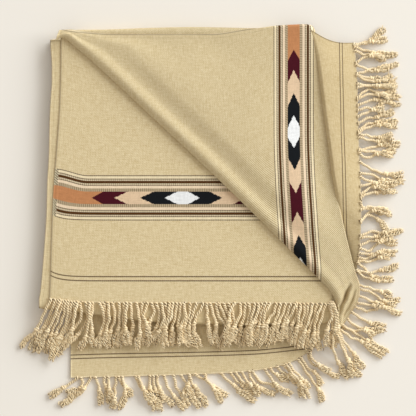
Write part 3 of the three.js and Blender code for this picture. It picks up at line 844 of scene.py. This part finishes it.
# ---------------------------------------------------------------------------------------------------
# The front fringe: end A's cords along the front panel's hem. They lie over the stack's lower fold, hang
# down over its edge, and rest on the lower end, or on the surface at the left, thick as a mane.
FRONT_CORDS = (
    # root x, then x and y on its way, at its knot and at its tip
    (-276, -287, -158, -302, -189, -333, -216), (-269, -277, -161, -295, -193, -315, -224),
    (-264, -272, -165, -288, -185, -305, -213), (-260, -271, -169, -283, -192, -300, -228),
    (-255, -265, -170, -277, -198, -289, -227), (-251, -256, -168, -269, -197, -283, -222),
    (-247, -251, -178, -265, -204, -277, -227), (-241, -247, -179, -262, -202, -277, -241),
    (-236, -240, -177, -259, -205, -263, -233), (-231, -235, -160, -241, -189, -252, -214),
    (-227, -225, -169, -243, -195, -258, -220), (-217, -214, -172, -231, -198, -256, -214),
    (-210, -212, -176, -218, -202, -228, -222), (-205, -207, -165, -207, -189, -204, -218),
    (-194, -185, -167, -192, -196, -198, -217), (-179, -177, -170, -182, -192, -188, -214),
    (-171, -167, -170, -175, -193, -180, -220), (-160, -159, -167, -161, -188, -169, -218),
    (-151, -152, -170, -154, -193, -160, -218), (-146, -148, -160, -149, -188, -146, -213),
    (-140, -138, -168, -136, -184, -144, -213), (-130, -125, -170, -124, -195, -131, -221),
    (-110, -117, -167, -113, -179, -107, -203), (-104, -100, -162, -107, -175, -114, -199),
    (-96, -90, -168, -95, -184, -106, -206), (-87, -83, -172, -91, -192, -114, -213),
    (-73, -76, -170, -82, -183, -89, -211), (-67, -71, -169, -80, -187, -80, -217),
    (-60, -64, -169, -69, -188, -66, -213), (-54, -56, -168, -58, -181, -46, -209),
    (-49, -46, -168, -54, -185, -52, -215), (-26, -34, -165, -40, -185, -33, -216),
    (-14, -26, -166, -31, -179, -21, -218), (-9, -8, -168, -7, -179, 1, -214),
    (-4, 3, -165, 7, -180, 4, -210), (7, 11, -166, 25, -184, 10, -221),
    (11, 22, -167, 28, -182, 26, -216), (28, 37, -167, 39, -182, 33, -207),
    (40, 33, -152, 29, -174, 23, -203), (49, 48, -165, 36, -186, 29, -211),
    (57, 55, -165, 50, -180, 41, -214), (63, 65, -160, 61, -179, 51, -219),
    (74, 69, -165, 65, -184, 65, -216), (80, 77, -165, 68, -179, 62, -206),
    (94, 84, -165, 81, -182, 70, -210), (100, 89, -166, 88, -183, 79, -219),
    (111, 106, -160, 95, -176, 86, -209), (118, 113, -164, 107, -179, 91, -215),
    (136, 127, -168, 122, -182, 119, -208), (142, 147, -160, 138, -179, 132, -210),
    (146, 137, -161, 129, -176, 124, -205), (152, 149, -169, 146, -185, 138, -215),
    (159, 157, -169, 152, -183, 147, -211), (165, 162, -172, 157, -187, 143, -217),
    (173, 167, -170, 159, -193, 152, -219), (181, 174, -172, 166, -192, 158, -219),
    (189, 178, -174, 175, -196, 170, -221), (196, 186, -176, 181, -196, 186, -223),
    (203, 206, -165, 198, -189, 198, -216), (200, 208, -168, 208, -186, 208, -211),
    (204, 211, -160, 212, -188, 208, -219), (206, 213.5, -159, 216, -184, 215, -213),
)
# The front cords keep their painted crease shade a little lighter.
MANE = {"slope": 0.22, "turn": 9.0, "fat": 1.12, "painted_crease_lift": 0.12}
KNOT_Y = 4  # columns of the list
TIP_Y = 6
front_left = Fringe(47, **MANE)
front_hem_x = np.linspace(-284, 205, 420)
front_hem_z = PANEL_MIDDLE - 0.8 + 0 * front_hem_x
front_left.hem(np.stack([front_hem_x, read(PANEL_HEM, front_hem_x), front_hem_z], axis=-1))
front_right = Fringe(48, **MANE)
# Between two cords of the list that stand apart, one more lies under them, halfway.
front_list = np.array(sorted(FRONT_CORDS), float)
apart = np.diff(front_list[:, 0])
halfway = (front_list[:-1] + front_list[1:])[apart > 12] / 2
halfway[:, KNOT_Y] += 4
halfway[:, TIP_Y] -= 1
all_front = np.concatenate([halfway, front_list])
all_front[:, TIP_Y] -= 4
for root_x, *way in all_front:
    root_y = float(read(PANEL_HEM, np.array([root_x]))[0]) + 0.4
    half = front_left if root_x < -40 else front_right
    half.cord((root_x, root_y), way, PANEL_MIDDLE)
front_cords = [front_left.piece("front_fringe_left_cords", "front_fringe"),
               front_right.piece("front_fringe_right_cords", "front_fringe")]


# ---------------------------------------------------------------------------------------------------
# The turned flap: end A's top ply. Its loose corner is turned back over a soft diagonal roll, so its
# selvedge lies along the top, the band runs down the right, and the far edge is a pleat over the end strip.
INSIDE_TURN = 2.4  # how round the under side goes down where it passes an edge
FLAP_LINES = 230  # sections along the roll
OVER_COLUMNS = 84
BEYOND_COLUMNS = 8
ROLL_COLUMNS = 10
UNDER_COLUMNS = 22
HOLLOW_BEHIND = 16.5  # how far behind the crown the hollow is, at most
SHOULDER_BEHIND = 48

# A row of the table is a section across the roll. fold is where the roll starts in plan and far where the
# ply ends. base, tip, crest and crown shape the roll. hollow, shoulder and far are heights behind it.
# beyond, bend and turn shape the pleat at the far edge, and under is how far the cloth runs on below.
FLAP_COLUMNS = ("fold_x", "fold_y", "far_x", "far_y", "base", "tip", "crest", "crown", "hollow", "shoulder",
                "far", "beyond", "bend", "turn", "under", "under_beyond")
FLAP_ROWS = (
    (-268, 308, -262, 325, 20.4, 1.4, 5.8, 7, 24.4, 24.0, 23.6, 0, 4, 90, 11, 0),
    (-257, 312.5, -243, 326, 20.4, 1.4, 6.4, 8, 24.6, 24.2, 23.2, 0, 4, 90, 15, 2),
    (-234, 296, -214, 321.5, 20.4, 1.4, 7.0, 10, 25.0, 24.4, 22.8, 0, 4, 90, 34, 8),
    (-199, 266, -162, 318, 20.4, 1.4, 7.2, 12, 25.0, 26.0, 22.8, 0, 4, 90, 72, 12),
    (-107, 180, -18, 317.5, 20.4, 1.4, 7.4, 12.5, 25.2, 28.8, 22.6, 0, 4, 90, 176, 12),
    (-51, 128, 77, 327, 20.4, 1.4, 7.4, 12.5, 25.0, 29.4, 22.6, 1, 4, 90, 235, 12),
    (-15, 94, 160, 331.5, 20.4, 1.4, 7.4, 12.5, 25.0, 29.6, 22.6, 13, 4, 90, 285, 12),
    (5, 75, 171, 325.5, 20.4, 1.4, 7.4, 12.5, 25.0, 29.6, 21.6, 9, 3, 60, 235, 0),
    (40, 41, 180.5, 270, 20.4, 1.4, 7.4, 12.5, 25.0, 29.4, 20.8, 7, 3, 15, 198, 0),
    (78, 4, 187.5, 214, 20.4, 1.4, 7.4, 12.5, 25.0, 29.0, 20.4, 7, 3, 0, 170, 0),
    (115, -33, 196, 146, 20.4, 1.4, 7.4, 12.5, 25.1, 28.4, 20.2, 7, 3, 0, 130, 0),
    (145, -63, 205.5, 78, 20.4, 1.4, 7.4, 12.5, 25.2, 27.6, 20.0, 7, 3, 0, 88, 0),
    (168, -86, 218.5, 20, 20.4, 1.4, 7.2, 12, 25.0, 25.0, 20.2, 5, 0.8, 60, 55, 0),
    (186, -104, 231.5, -37, 20.4, 1.4, 6.8, 11, 24.4, 22.6, 20.8, 4, 0.5, 180, 28, 0),
    (201, -120, 245, -89, 19.9, 1.5, 6.6, 10, 23.2, 21.0, 19.0, 4, 0.5, 180, 10, 0),
    (212, -139, 253.5, -118, 18.6, 1.6, 6.0, 9, 20.5, 18.5, 14.5, 4, 0.8, 180, 5, 0),
    (217, -157, 249, -143, 14.4, 1.8, 5.0, 8, 15.5, 13.5, 9.6, 4, 1.2, 180, 4, 0),
    (218, -172, 237, -163.5, 9.6, 1.8, 4.2, 5, 9.5, 8.6, 6.8, 3, 1.6, 180, 3, 0),
    (218.5, -188, 225.5, -182, 6.6, 1.6, 3.4, 2.6, 7.4, 6.8, 6.2, 2, 1.6, 160, 2, 0),
)

flap_table = np.array(FLAP_ROWS, float)
flap_stations = gone_along(flap_table[:, :2]) + gone_along(flap_table[:, 2:4])
# The sections crowd towards the twisted corner.
flap_at = flap_stations[-1] * np.interp(np.linspace(0, 1, FLAP_LINES), (0, 0.68, 1), (0, 0.83, 1))
flap = {}
for key, values in zip(FLAP_COLUMNS, flap_table.T):
    flap[key] = curve(flap_stations, values, flap_at)[:, None]
way = np.stack([flap["far_x"] - flap["fold_x"], flap["far_y"] - flap["fold_y"]], axis=-1)
flap_length = np.linalg.norm(way, axis=-1)
way = unit(way)


def over_edge(beyond, bend, turn):
    """Cloth that passes an edge by that much turns down round it: how far out it gets, and how far down."""
    angle = np.minimum(beyond / bend, turn)
    rest = np.maximum(beyond - bend * turn, 0)
    out = bend * np.sin(angle) + rest * np.cos(turn)
    drop = bend * (1 - np.cos(angle)) + rest * np.sin(turn)
    return out, drop


def flap_height(reach):
    """Height of the turned ply's middle: the roll, the hollow behind it, and where it lies."""
    start = flap["base"] + 2 * flap["tip"]
    top = flap["base"] + flap["crest"]
    past_crown = flap_length - flap["crown"]
    hollow_at = flap["crown"] + np.minimum(HOLLOW_BEHIND, 0.34 * past_crown)
    shoulder_at = flap["crown"] + np.minimum(SHOULDER_BEHIND, 0.65 * past_crown)
    rising = 1 - (1 - np.clip((reach - flap["tip"]) / (flap["crown"] - flap["tip"]), 0, 1)) ** 2
    falling = smooth(0, 1, (reach - flap["crown"]) / (hollow_at - flap["crown"]))
    again = smooth(0, 1, np.clip((reach - hollow_at) / (shoulder_at - hollow_at), 0, 1))
    settle = smooth(0, 1, (reach - shoulder_at) / (0.85 * (flap_length - shoulder_at)))
    roll = start + (top - start) * rising
    height = roll + (flap["hollow"] - roll) * falling
    height = height + (flap["shoulder"] - flap["hollow"]) * again
    return height + (flap["far"] - flap["shoulder"]) * settle


even = np.linspace(1, 0, OVER_COLUMNS)[None, :]
over_reach = flap["tip"] + (flap_length - flap["tip"]) * even ** 1.25
over_z = flap_height(over_reach)
past = flap["beyond"] * np.linspace(1, 0, BEYOND_COLUMNS + 1)[None, :-1]
turn_limit = np.radians(flap["turn"])
past_out, past_drop = over_edge(past, flap["bend"], turn_limit)
past_reach = flap_length + past_out
past_z = over_z[:, :1] - past_drop
past_flat = flap_length + past
roll_turn = np.linspace(0, math.pi, ROLL_COLUMNS + 1)[None, 1:-1]
roll_reach = flap["tip"] * (1 - np.sin(roll_turn))
roll_z = flap["base"] + flap["tip"] * (1 + np.cos(roll_turn))
roll_flat = flap["tip"] * (1 - roll_turn)
under_even = np.linspace(0, 1, UNDER_COLUMNS)[None, :] ** 0.8
under_flat_run = (flap["under"] + flap["under_beyond"] - flap["tip"]) * under_even
under_past = np.maximum(under_flat_run - (flap["under"] - flap["tip"]), 0)
under_out, under_drop = over_edge(under_past, INSIDE_TURN, math.pi / 2)
under_reach = flap["tip"] + np.minimum(under_flat_run, flap["under"] - flap["tip"]) + under_out
under_z = flap["base"] - under_drop - 0.8 * smooth(0, 12, under_flat_run)
under_flat = -flap["tip"] * (math.pi - 1) - under_flat_run

flap_reach = np.concatenate([past_reach, over_reach, roll_reach, under_reach], axis=1)
flap_z = np.concatenate([past_z, over_z, roll_z, under_z], axis=1)
flap_flat = np.concatenate([past_flat, over_reach, roll_flat, under_flat], axis=1)
flap_x = flap["fold_x"] + way[..., 0] * flap_reach
flap_y = flap["fold_y"] + way[..., 1] * flap_reach
flat_x = flap["fold_x"] + way[..., 0] * flap_flat
flat_y = flap["fold_y"] + way[..., 1] * flap_flat
is_over = np.zeros(flap_reach.shape)
is_over[:, BEYOND_COLUMNS:BEYOND_COLUMNS + OVER_COLUMNS] = 1
# The creases and ripples die away at the roll, at the far edge and towards the corner.
open_cloth = is_over * smooth(14, 60, flap_reach) * smooth(60, 130, flap_length)
open_cloth = open_cloth * smooth(0, 30, flap_length - flap_reach)

# The creases behind the roll: soft troughs beside it, listed each from one place along the roll
# to another, so far from the fold, and so wide and deep.
FLAP_CREASES = (
    # from, to, near the fold at the start and at the end, width, depth
    (180, 520, 32, 38, 13, 0.9),
    (150, 420, 96, 128, 30, 0.7),
    (240, 560, 150, 120, 34, -0.6),
    (330, 700, 84, 78, 22, -0.5),
    (420, 760, 190, 150, 30, 0.6),
)
along_roll = flap_at[:, None] + 0 * flap_reach
creases = 0 * flap_reach
for start_at, end_at, near_start, near_end, width, depth in FLAP_CREASES:
    share = (along_roll - start_at) / (end_at - start_at)
    centre = near_start + (near_end - near_start) * share
    ends = smooth(0, 0.25, share) * (1 - smooth(0.75, 1, share))
    creases += depth * ends * np.exp(-((flap_reach - centre) / width) ** 2)
flap_z = flap_z - creases * open_cloth
flap_z = flap_z + 0.35 * ripple(flap_x, flap_y, 85, 11) * open_cloth

# The twisted corner: two creases run down it with a ridge between them, and beyond them the hem is a
# smooth tube. Each is given as points, each with the depth and the half width there.
CORNER_CREASES = (
    # x, y, depth, half width
    ((241, -110, 0, 3), (236, -117, 6, 3.4), (231, -126, 11, 3.6), (227.5, -137, 12, 3.6),
     (222, -148, 9, 3.4), (217, -160, 3, 3)),
    ((248, -119, 0, 2.2), (244.5, -126, 4, 2.4), (241, -140, 6, 2.6), (231, -157, 5, 2.6),
     (221, -172, 1, 2.4)),
    ((243, -108, 0, 3), (239, -119, -2, 3), (235.5, -131, -3, 3), (229, -147, -3, 3), (222, -162, 0, 3)),
)
for crease in CORNER_CREASES:
    laid = np.array(crease, float)
    steps = gone_along(laid[:, :2])
    fine = np.linspace(0, steps[-1], 60)
    at_x, at_y, at_deep, at_wide = (np.interp(fine, steps, laid[:, k]) for k in range(4))
    away = np.hypot(flap_x[..., None] - at_x, flap_y[..., None] - at_y)
    nearest = away.argmin(axis=-1)
    trough = at_deep[nearest] * np.exp(-(away.min(axis=-1) / at_wide[nearest]) ** 2)
    flap_z = flap_z - trough * is_over

BAND_AT = ((-200, 153.5), (-90, 153), (-55, 150.8), (-20, 148), (20, 145.5), (60, 143), (150, 140.2),
           (340, 140.2))
SELVEDGE_AT = ((-262, 327), (-241, 322.5), (-175, 318), (0, 317.5), (48, 324), (91, 332), (141, 350.5),
               (210, 352))
PLEAT_FROM = 160  # from there to the right, the far edge is a pleat and no selvedge
MOTIF_SQUEEZE = 1.04
STRIPE_SQUEEZE = 1.16
from_band = -(flat_x - read(BAND_AT, flat_y))
inner = np.clip(from_band, -MOTIF_HALF / MOTIF_SQUEEZE, MOTIF_HALF / MOTIF_SQUEEZE)
flap_along = BAND_MIDDLE + inner * MOTIF_SQUEEZE + (from_band - inner) * STRIPE_SQUEEZE
flap_across = read(SELVEDGE_AT, flat_x) - flat_y
flap_rim = INSIDE + 0 * flap_across
seen = (slice(None), slice(BEYOND_COLUMNS + OVER_COLUMNS))
flap_rim[seen] = np.where(flat_x[seen] < PLEAT_FROM, flap_across[seen], INSIDE)
# Under the roll the cloth is plain: neither the selvedge's lines nor the band show there.
plain_across = np.where(flap_flat < -2, 60 + np.abs(flap_across), flap_across)
plain_along = np.maximum(flap_along, 60) + np.where(flap_flat < 0, 260.0, 0.0)
flap_weave = np.stack([plain_across, plain_along, flap_rim], axis=-1)
flap_middle = np.stack([flap_x, flap_y, flap_z], axis=-1)
turned = ply("turned_flap_cloth", flap_middle, flap_weave)
put_on(turned, "turned_flap", sand_twill("sand twill, ribbed side", 2.2, (0.92, 0.92, 0.92)))


# ---------------------------------------------------------------------------------------------------
# The end strip: the last of the turned ply, from under its pleat out over the side of the stack to its hem,
# which stands free of the surface. It carries the pair of dark picks, and its warp makes the flap's fringe.
STRIP_CROWN = 4.0  # from the pleat's edge to its crest
PICKS_APART = 5.0  # on the strip, where the cloth is seen aslant
STRIP_LINES = 150
STRIP_ACROSS = 56

# A row of the table is a section across the strip: its pleat and its hem in plan, the height that it
# starts from, how open the pleat is (lift), how much higher its crest is, how far in it is tucked, the
# hem's height, and where the pair of picks is.
STRIP_COLUMNS = ("pleat_x", "pleat_y", "hem_x", "hem_y", "from_z", "lift", "crest", "tuck", "hem_z",
                 "line_x")
STRIP_ROWS = (
    (169, 326, 243.5, 304, 20.6, 0.2, 0.5, 1, 8.0, 224),
    (174, 312, 245, 296, 20.2, 0.3, 0.8, 0.5, 9.5, 224),
    (180, 280, 248, 262, 20.0, 0.8, 1.4, 0, 13.5, 224.3),
    (184, 250, 249.5, 232, 20.2, 1.2, 2.2, 0, 15.5, 224.6),
    (189, 207, 250.5, 180, 20.2, 1.4, 2.4, 0, 15.5, 225.6),
    (195, 162, 252, 138, 20.2, 1.4, 2.4, 0, 15.5, 226.4),
    (201, 118, 253.5, 94, 20.2, 1.4, 2.4, 0, 15.5, 228),
    (208, 68, 255.5, 52, 19.8, 1.3, 2.2, 0, 15.5, 229.2),
    (219, 21, 256, 12, 16.5, 0.7, 1.0, 2, 14.5, 230.4),
    (227, -18, 255.5, -20, 10.0, 0.1, 0, 6, 13.0, 232),
    (235, -48, 254, -50, 6.0, 0.1, 0, 7, 11.0, 234),
    (242, -74, 250.5, -75, 3.5, 0.1, 0, 7, 8.0, 238),
    (245, -88, 248, -90, 2.5, 0.1, 0, 7, 5.5, 240),
)

strip_table = np.array(STRIP_ROWS, float)
strip_stations = gone_along(strip_table[:, 2:4])
strip_at = strip_stations[-1] * spaced(STRIP_LINES, 0.25)
strip = {}
for key, values in zip(STRIP_COLUMNS, strip_table.T):
    strip[key] = curve(strip_stations, values, strip_at)[:, None]
strip_edge = strip["pleat_x"] - strip["tuck"]
strip_round = strip["lift"] + 0.05
strip_low = strip["from_z"] + 1.45 * strip["lift"]
back = np.linspace(1, 0, 5)[None, :-1] * 5 * strip["lift"]
pleat_turn = np.linspace(0, math.pi, 9)[None, :-1]
over_share = np.linspace(0, 1, STRIP_ACROSS)[None, :] ** 1.2
over_x = strip_edge + strip_round + (strip["hem_x"] - strip_edge - strip_round) * over_share
start_z = strip_low + 2 * strip_round
rising = np.sin(math.pi / 2 * np.clip((over_x - strip_edge - strip_round) / STRIP_CROWN, 0, 1))
down = np.clip((strip["hem_x"] - over_x) / np.maximum(strip["hem_x"] - strip_edge - STRIP_CROWN, 2), 0, 1)
hollow = smooth(3, -3, start_z - strip["hem_z"])  # low down, the strip rises out of the crevice instead
falling = (1 - (1 - down) ** 1.4) * (1 - hollow) + down ** 2.6 * hollow
over_z = strip["hem_z"] + (start_z + strip["crest"] * rising - strip["hem_z"]) * falling
pleat_x = strip_edge + strip_round * (1 - np.sin(pleat_turn))
pleat_z = strip_low + strip_round * (1 - np.cos(pleat_turn))
strip_x = np.concatenate([strip_edge + strip_round + back, pleat_x, over_x], axis=1)
strip_z = np.concatenate([strip_low + 0 * back, pleat_z, over_z], axis=1)
strip_flat = np.concatenate([strip_edge - (math.pi - 1) * strip_round - back,
                             strip_edge - strip_round * (math.pi - 1 - pleat_turn), over_x], axis=1)
strip_share = (strip_x - strip["pleat_x"]) / (strip["hem_x"] - strip["pleat_x"])
strip_y = strip["pleat_y"] + (strip["hem_y"] - strip["pleat_y"]) * strip_share
strip_y = strip_y - 8.5 * np.sin(math.pi * np.clip(strip_share, 0, 1)) * smooth(262, 300, strip["hem_y"])
to_hem = strip["hem_x"] - strip_flat
open_strip = smooth(2, 20, to_hem) * smooth(-2, 14, strip_flat - strip_edge)
strip_z = strip_z + 0.35 * ripple(strip_x, strip_y, 60, 21) * open_strip
line_stretch = (PAIR_LINES[1] - PAIR_LINES[0]) / PICKS_APART
past_line = strip["line_x"] - strip_flat
strip_along = PAIR_LINES[0] + past_line * line_stretch
below = PAIR_LINES[0] * to_hem / np.maximum(strip["hem_x"] - strip["line_x"], 1)
strip_along = np.minimum(np.where(past_line > 0, strip_along, below), 130)
strip_across = strip["pleat_y"][0] - strip["pleat_y"] + 0 * strip_x
strip_weave = np.stack([strip_across + 12, strip_along, np.minimum(to_hem, INSIDE)], axis=-1)
strip_middle = np.stack([strip_x, strip_y, strip_z], axis=-1)
end_strip = ply("end_strip_cloth", strip_middle[:, ::-1], strip_weave[:, ::-1])
# Its twill is multiplied darker and a little warmer: painted shade against the light that the strip's slope
# catches.
put_on(end_strip, "flap_end_strip", sand_twill("sand twill, end strip, painted shade", 0.4, (0.85, 0.82, 0.775)))

ground.take(end_strip)
ground.take(turned)


# ---------------------------------------------------------------------------------------------------
# The flap's fringe: end A's cords along the end strip's hem, made as the other fringes are. They leave the
# hem over the side of the stack, and go down to the surface at the right.
FLAP_CORDS = (
    # root y, then x and y on its way, at its knot and at its tip
    (301, 260, 304, 275, 310, 299, 330), (298, 262, 303, 275, 306, 303, 311),
    (296, 262, 292, 278, 287, 321, 283), (291, 258, 285, 276, 283, 302, 275),
    (268, 257, 276, 274, 281, 297, 280), (266, 268, 259, 289, 261, 323, 268),
    (250, 267, 255, 283, 256, 305, 261), (248, 263, 245, 274, 243, 292, 241),
    (249, 264, 240, 286, 238, 312, 251), (233, 266, 231, 282, 228, 320, 238),
    (227, 267, 230, 285, 230, 320, 229), (208, 267, 223, 295, 217, 319, 222),
    (206, 265, 214, 285, 215, 325, 208), (195, 264, 202, 281, 206, 326, 196),
    (187, 267, 192, 281, 190, 297, 199), (176, 264, 183, 277, 188, 297, 192),
    (164, 264, 173, 284, 176, 314, 188), (150, 263, 162, 285, 167, 321, 168),
    (148, 265, 157, 287, 162, 320, 161), (147, 268, 144, 289, 141, 312, 148),
    (141, 270, 137, 286, 134, 313, 142), (120, 264, 121, 290, 128, 326, 130),
    (118, 272, 117, 297, 116, 318, 119), (115, 264, 106, 284, 112, 314, 112),
    (100, 270, 89, 299, 78, 331, 77), (79, 271, 78, 295, 68, 332, 63), (74, 264, 68, 274, 64, 299, 56),
    (57, 267, 60, 281, 62, 321, 60), (42, 266, 51, 279, 56, 303, 53), (36, 266, 44, 283, 46, 319, 49),
    (31, 259, 21, 275, 18, 297, 12), (16, 270, 21, 288, 19, 311, 7), (-3, 266, 7, 279, 15, 304, 14),
    (-5, 269, 8, 285, 0, 304, -20), (-29, 270, -22, 297, -23, 330, -20),
    (-32, 265, -31, 282, -30, 302, -29), (-46, 267, -39, 285, -37, 321, -41),
    (-50, 270, -54, 290, -39, 312, -28), (-58, 265, -60, 277, -61, 298, -63),
    (-66, 272, -67, 287, -57, 320, -60), (-72, 275, -72, 290, -66, 308, -64),
    (-74, 265, -87, 275, -98, 293, -106), (-86, 264, -92, 292, -88, 323, -80),
    (-88, 264, -100, 285, -106, 313, -101),
)
flap_fringe = Fringe(59)
strip_hem = np.concatenate([strip["hem_x"], strip["hem_y"], strip["hem_z"] + 0.3], axis=1)
flap_fringe.hem(strip_hem)
for root_y, *way in FLAP_CORDS:
    root_x = float(np.interp(-root_y, -strip_hem[:, 1], strip_hem[:, 0])) - 0.8
    root_z = float(np.interp(-root_y, -strip_hem[:, 1], strip_hem[:, 2]))
    flap_fringe.cord((root_x, root_y), way, root_z)
flap_cords = flap_fringe.piece("flap_fringe_cords", "flap_fringe")


# ---------------------------------------------------------------------------------------------------
# The corner fringe: the last of end A's cords, made as the other fringes are. They fan out from under the
# twisted corner and come down to the surface.
CORNER_CORDS = (
    # root x and y, then on its way, at its knot and at its tip
    (250, -113, 268, -117, 291, -125, 312, -131), (250, -119, 275, -126, 297, -141, 325, -139),
    (249, -130, 268, -138, 284, -144, 319, -148), (246, -144, 266, -147, 279, -149, 299, -151),
    (243, -149, 268, -158, 297, -152, 327, -165), (238, -158, 254, -169, 273, -179, 302, -186),
    (231, -169, 246, -183, 266, -189, 297, -192), (222, -186, 245, -192, 264, -192, 281, -203),
    (221, -180, 240, -192, 268, -209, 303, -232), (219, -188, 239, -203, 258, -211, 296, -238),
    (217, -190, 229, -213, 245, -232, 261, -259), (215, -188, 228, -222, 236, -243, 256, -273),
    (212, -190, 225, -222, 234, -242, 245, -274), (207, -194, 210, -228, 218, -247, 237, -276),
)
corner_fringe = Fringe(71)
corner_rows = flap_table[flap_table[:, 3] < -85]
corner_hem = np.stack([corner_rows[:, 2], corner_rows[:, 3], corner_rows[:, 8] - 0.4], axis=-1)
corner_fringe.hem(corner_hem)
for row in CORNER_CORDS:
    corner_fringe.cord(row[:2], row[2:], 2.6)
corner_cords = corner_fringe.piece("corner_fringe_cords", "corner_fringe")


# ---------------------------------------------------------------------------------------------------
# The floor, the light and the camera. The floor is a plain pale sweep. One large soft light stands at the
# upper right, and the room fills the shadows. The camera looks straight down.
def floor_finish():
    dye = Dye("pale floor")
    at = dye.node("ShaderNodeTexCoord", {}).outputs["Object"]
    grain = dye.noise(at, 1.3, 2.0)
    colour = dye.mix(grain, shade(240, 233, 222), shade(245, 239, 230))
    return dye.finish({"Base Color": colour, "Roughness": 0.9, "Specular IOR Level": 0.1}, None)


FLOOR_HALF = 6.0
floor_corners = [(x * FLOOR_HALF, y * FLOOR_HALF, 0) for x, y in ((-1, -1), (1, -1), (1, 1), (-1, 1))]
floor_mesh = bpy.data.meshes.new("floor")
floor_mesh.from_pydata(floor_corners, [], [(0, 1, 2, 3)])
floor_mesh.materials.append(floor_finish())
floor = bpy.data.objects.new("floor", floor_mesh)
floor.location.z = -0.0004
bpy.context.scene.collection.objects.link(floor)


def soft_light(name, azimuth, height, distance, wide, tall, power, tint):
    """A soft box that faces the shawl from that direction, in degrees, and distance, in metres."""
    lamp = bpy.data.lights.new(name, "AREA")
    lamp.shape = "RECTANGLE"
    lamp.size = wide
    lamp.size_y = tall
    lamp.energy = power
    lamp.color = tint
    held = bpy.data.objects.new(name, lamp)
    turn, up = math.radians(azimuth), math.radians(height)
    level = distance * math.cos(up)
    held.location = (level * math.cos(turn), level * math.sin(turn), distance * math.sin(up))
    held.rotation_euler = (math.pi / 2 - up, 0, turn + math.pi / 2)
    bpy.context.scene.collection.objects.link(held)


soft_light("key", azimuth=34, height=22, distance=11.0, wide=13.0, tall=5.8, power=1870,
           tint=(0.88, 0.94, 1.0))
world = bpy.data.worlds.new("room")
world.use_nodes = True
room_light = world.node_tree.nodes["Background"].inputs
room_light["Color"].default_value = (1.0, 0.955, 0.885, 1.0)
room_light["Strength"].default_value = 0.58
bpy.context.scene.world = world
bpy.context.scene.view_settings.view_transform = "Standard"

CAMERA_HEIGHT = 4.0
FRAMED = 0.7155  # metres across the view, at the height of the cloth
CLOTH_HEIGHT = 0.015
OVER = (-0.0069, 0.0194)  # the place that it looks down on
camera_data = bpy.data.cameras.new("camera")
camera_data.sensor_width = 36
camera_data.lens = 36 * (CAMERA_HEIGHT - CLOTH_HEIGHT) / FRAMED
camera_data.clip_end = 50
camera = bpy.data.objects.new("camera", camera_data)
camera.location = (*OVER, CAMERA_HEIGHT)
bpy.context.scene.collection.objects.link(camera)
bpy.context.scene.camera = camera
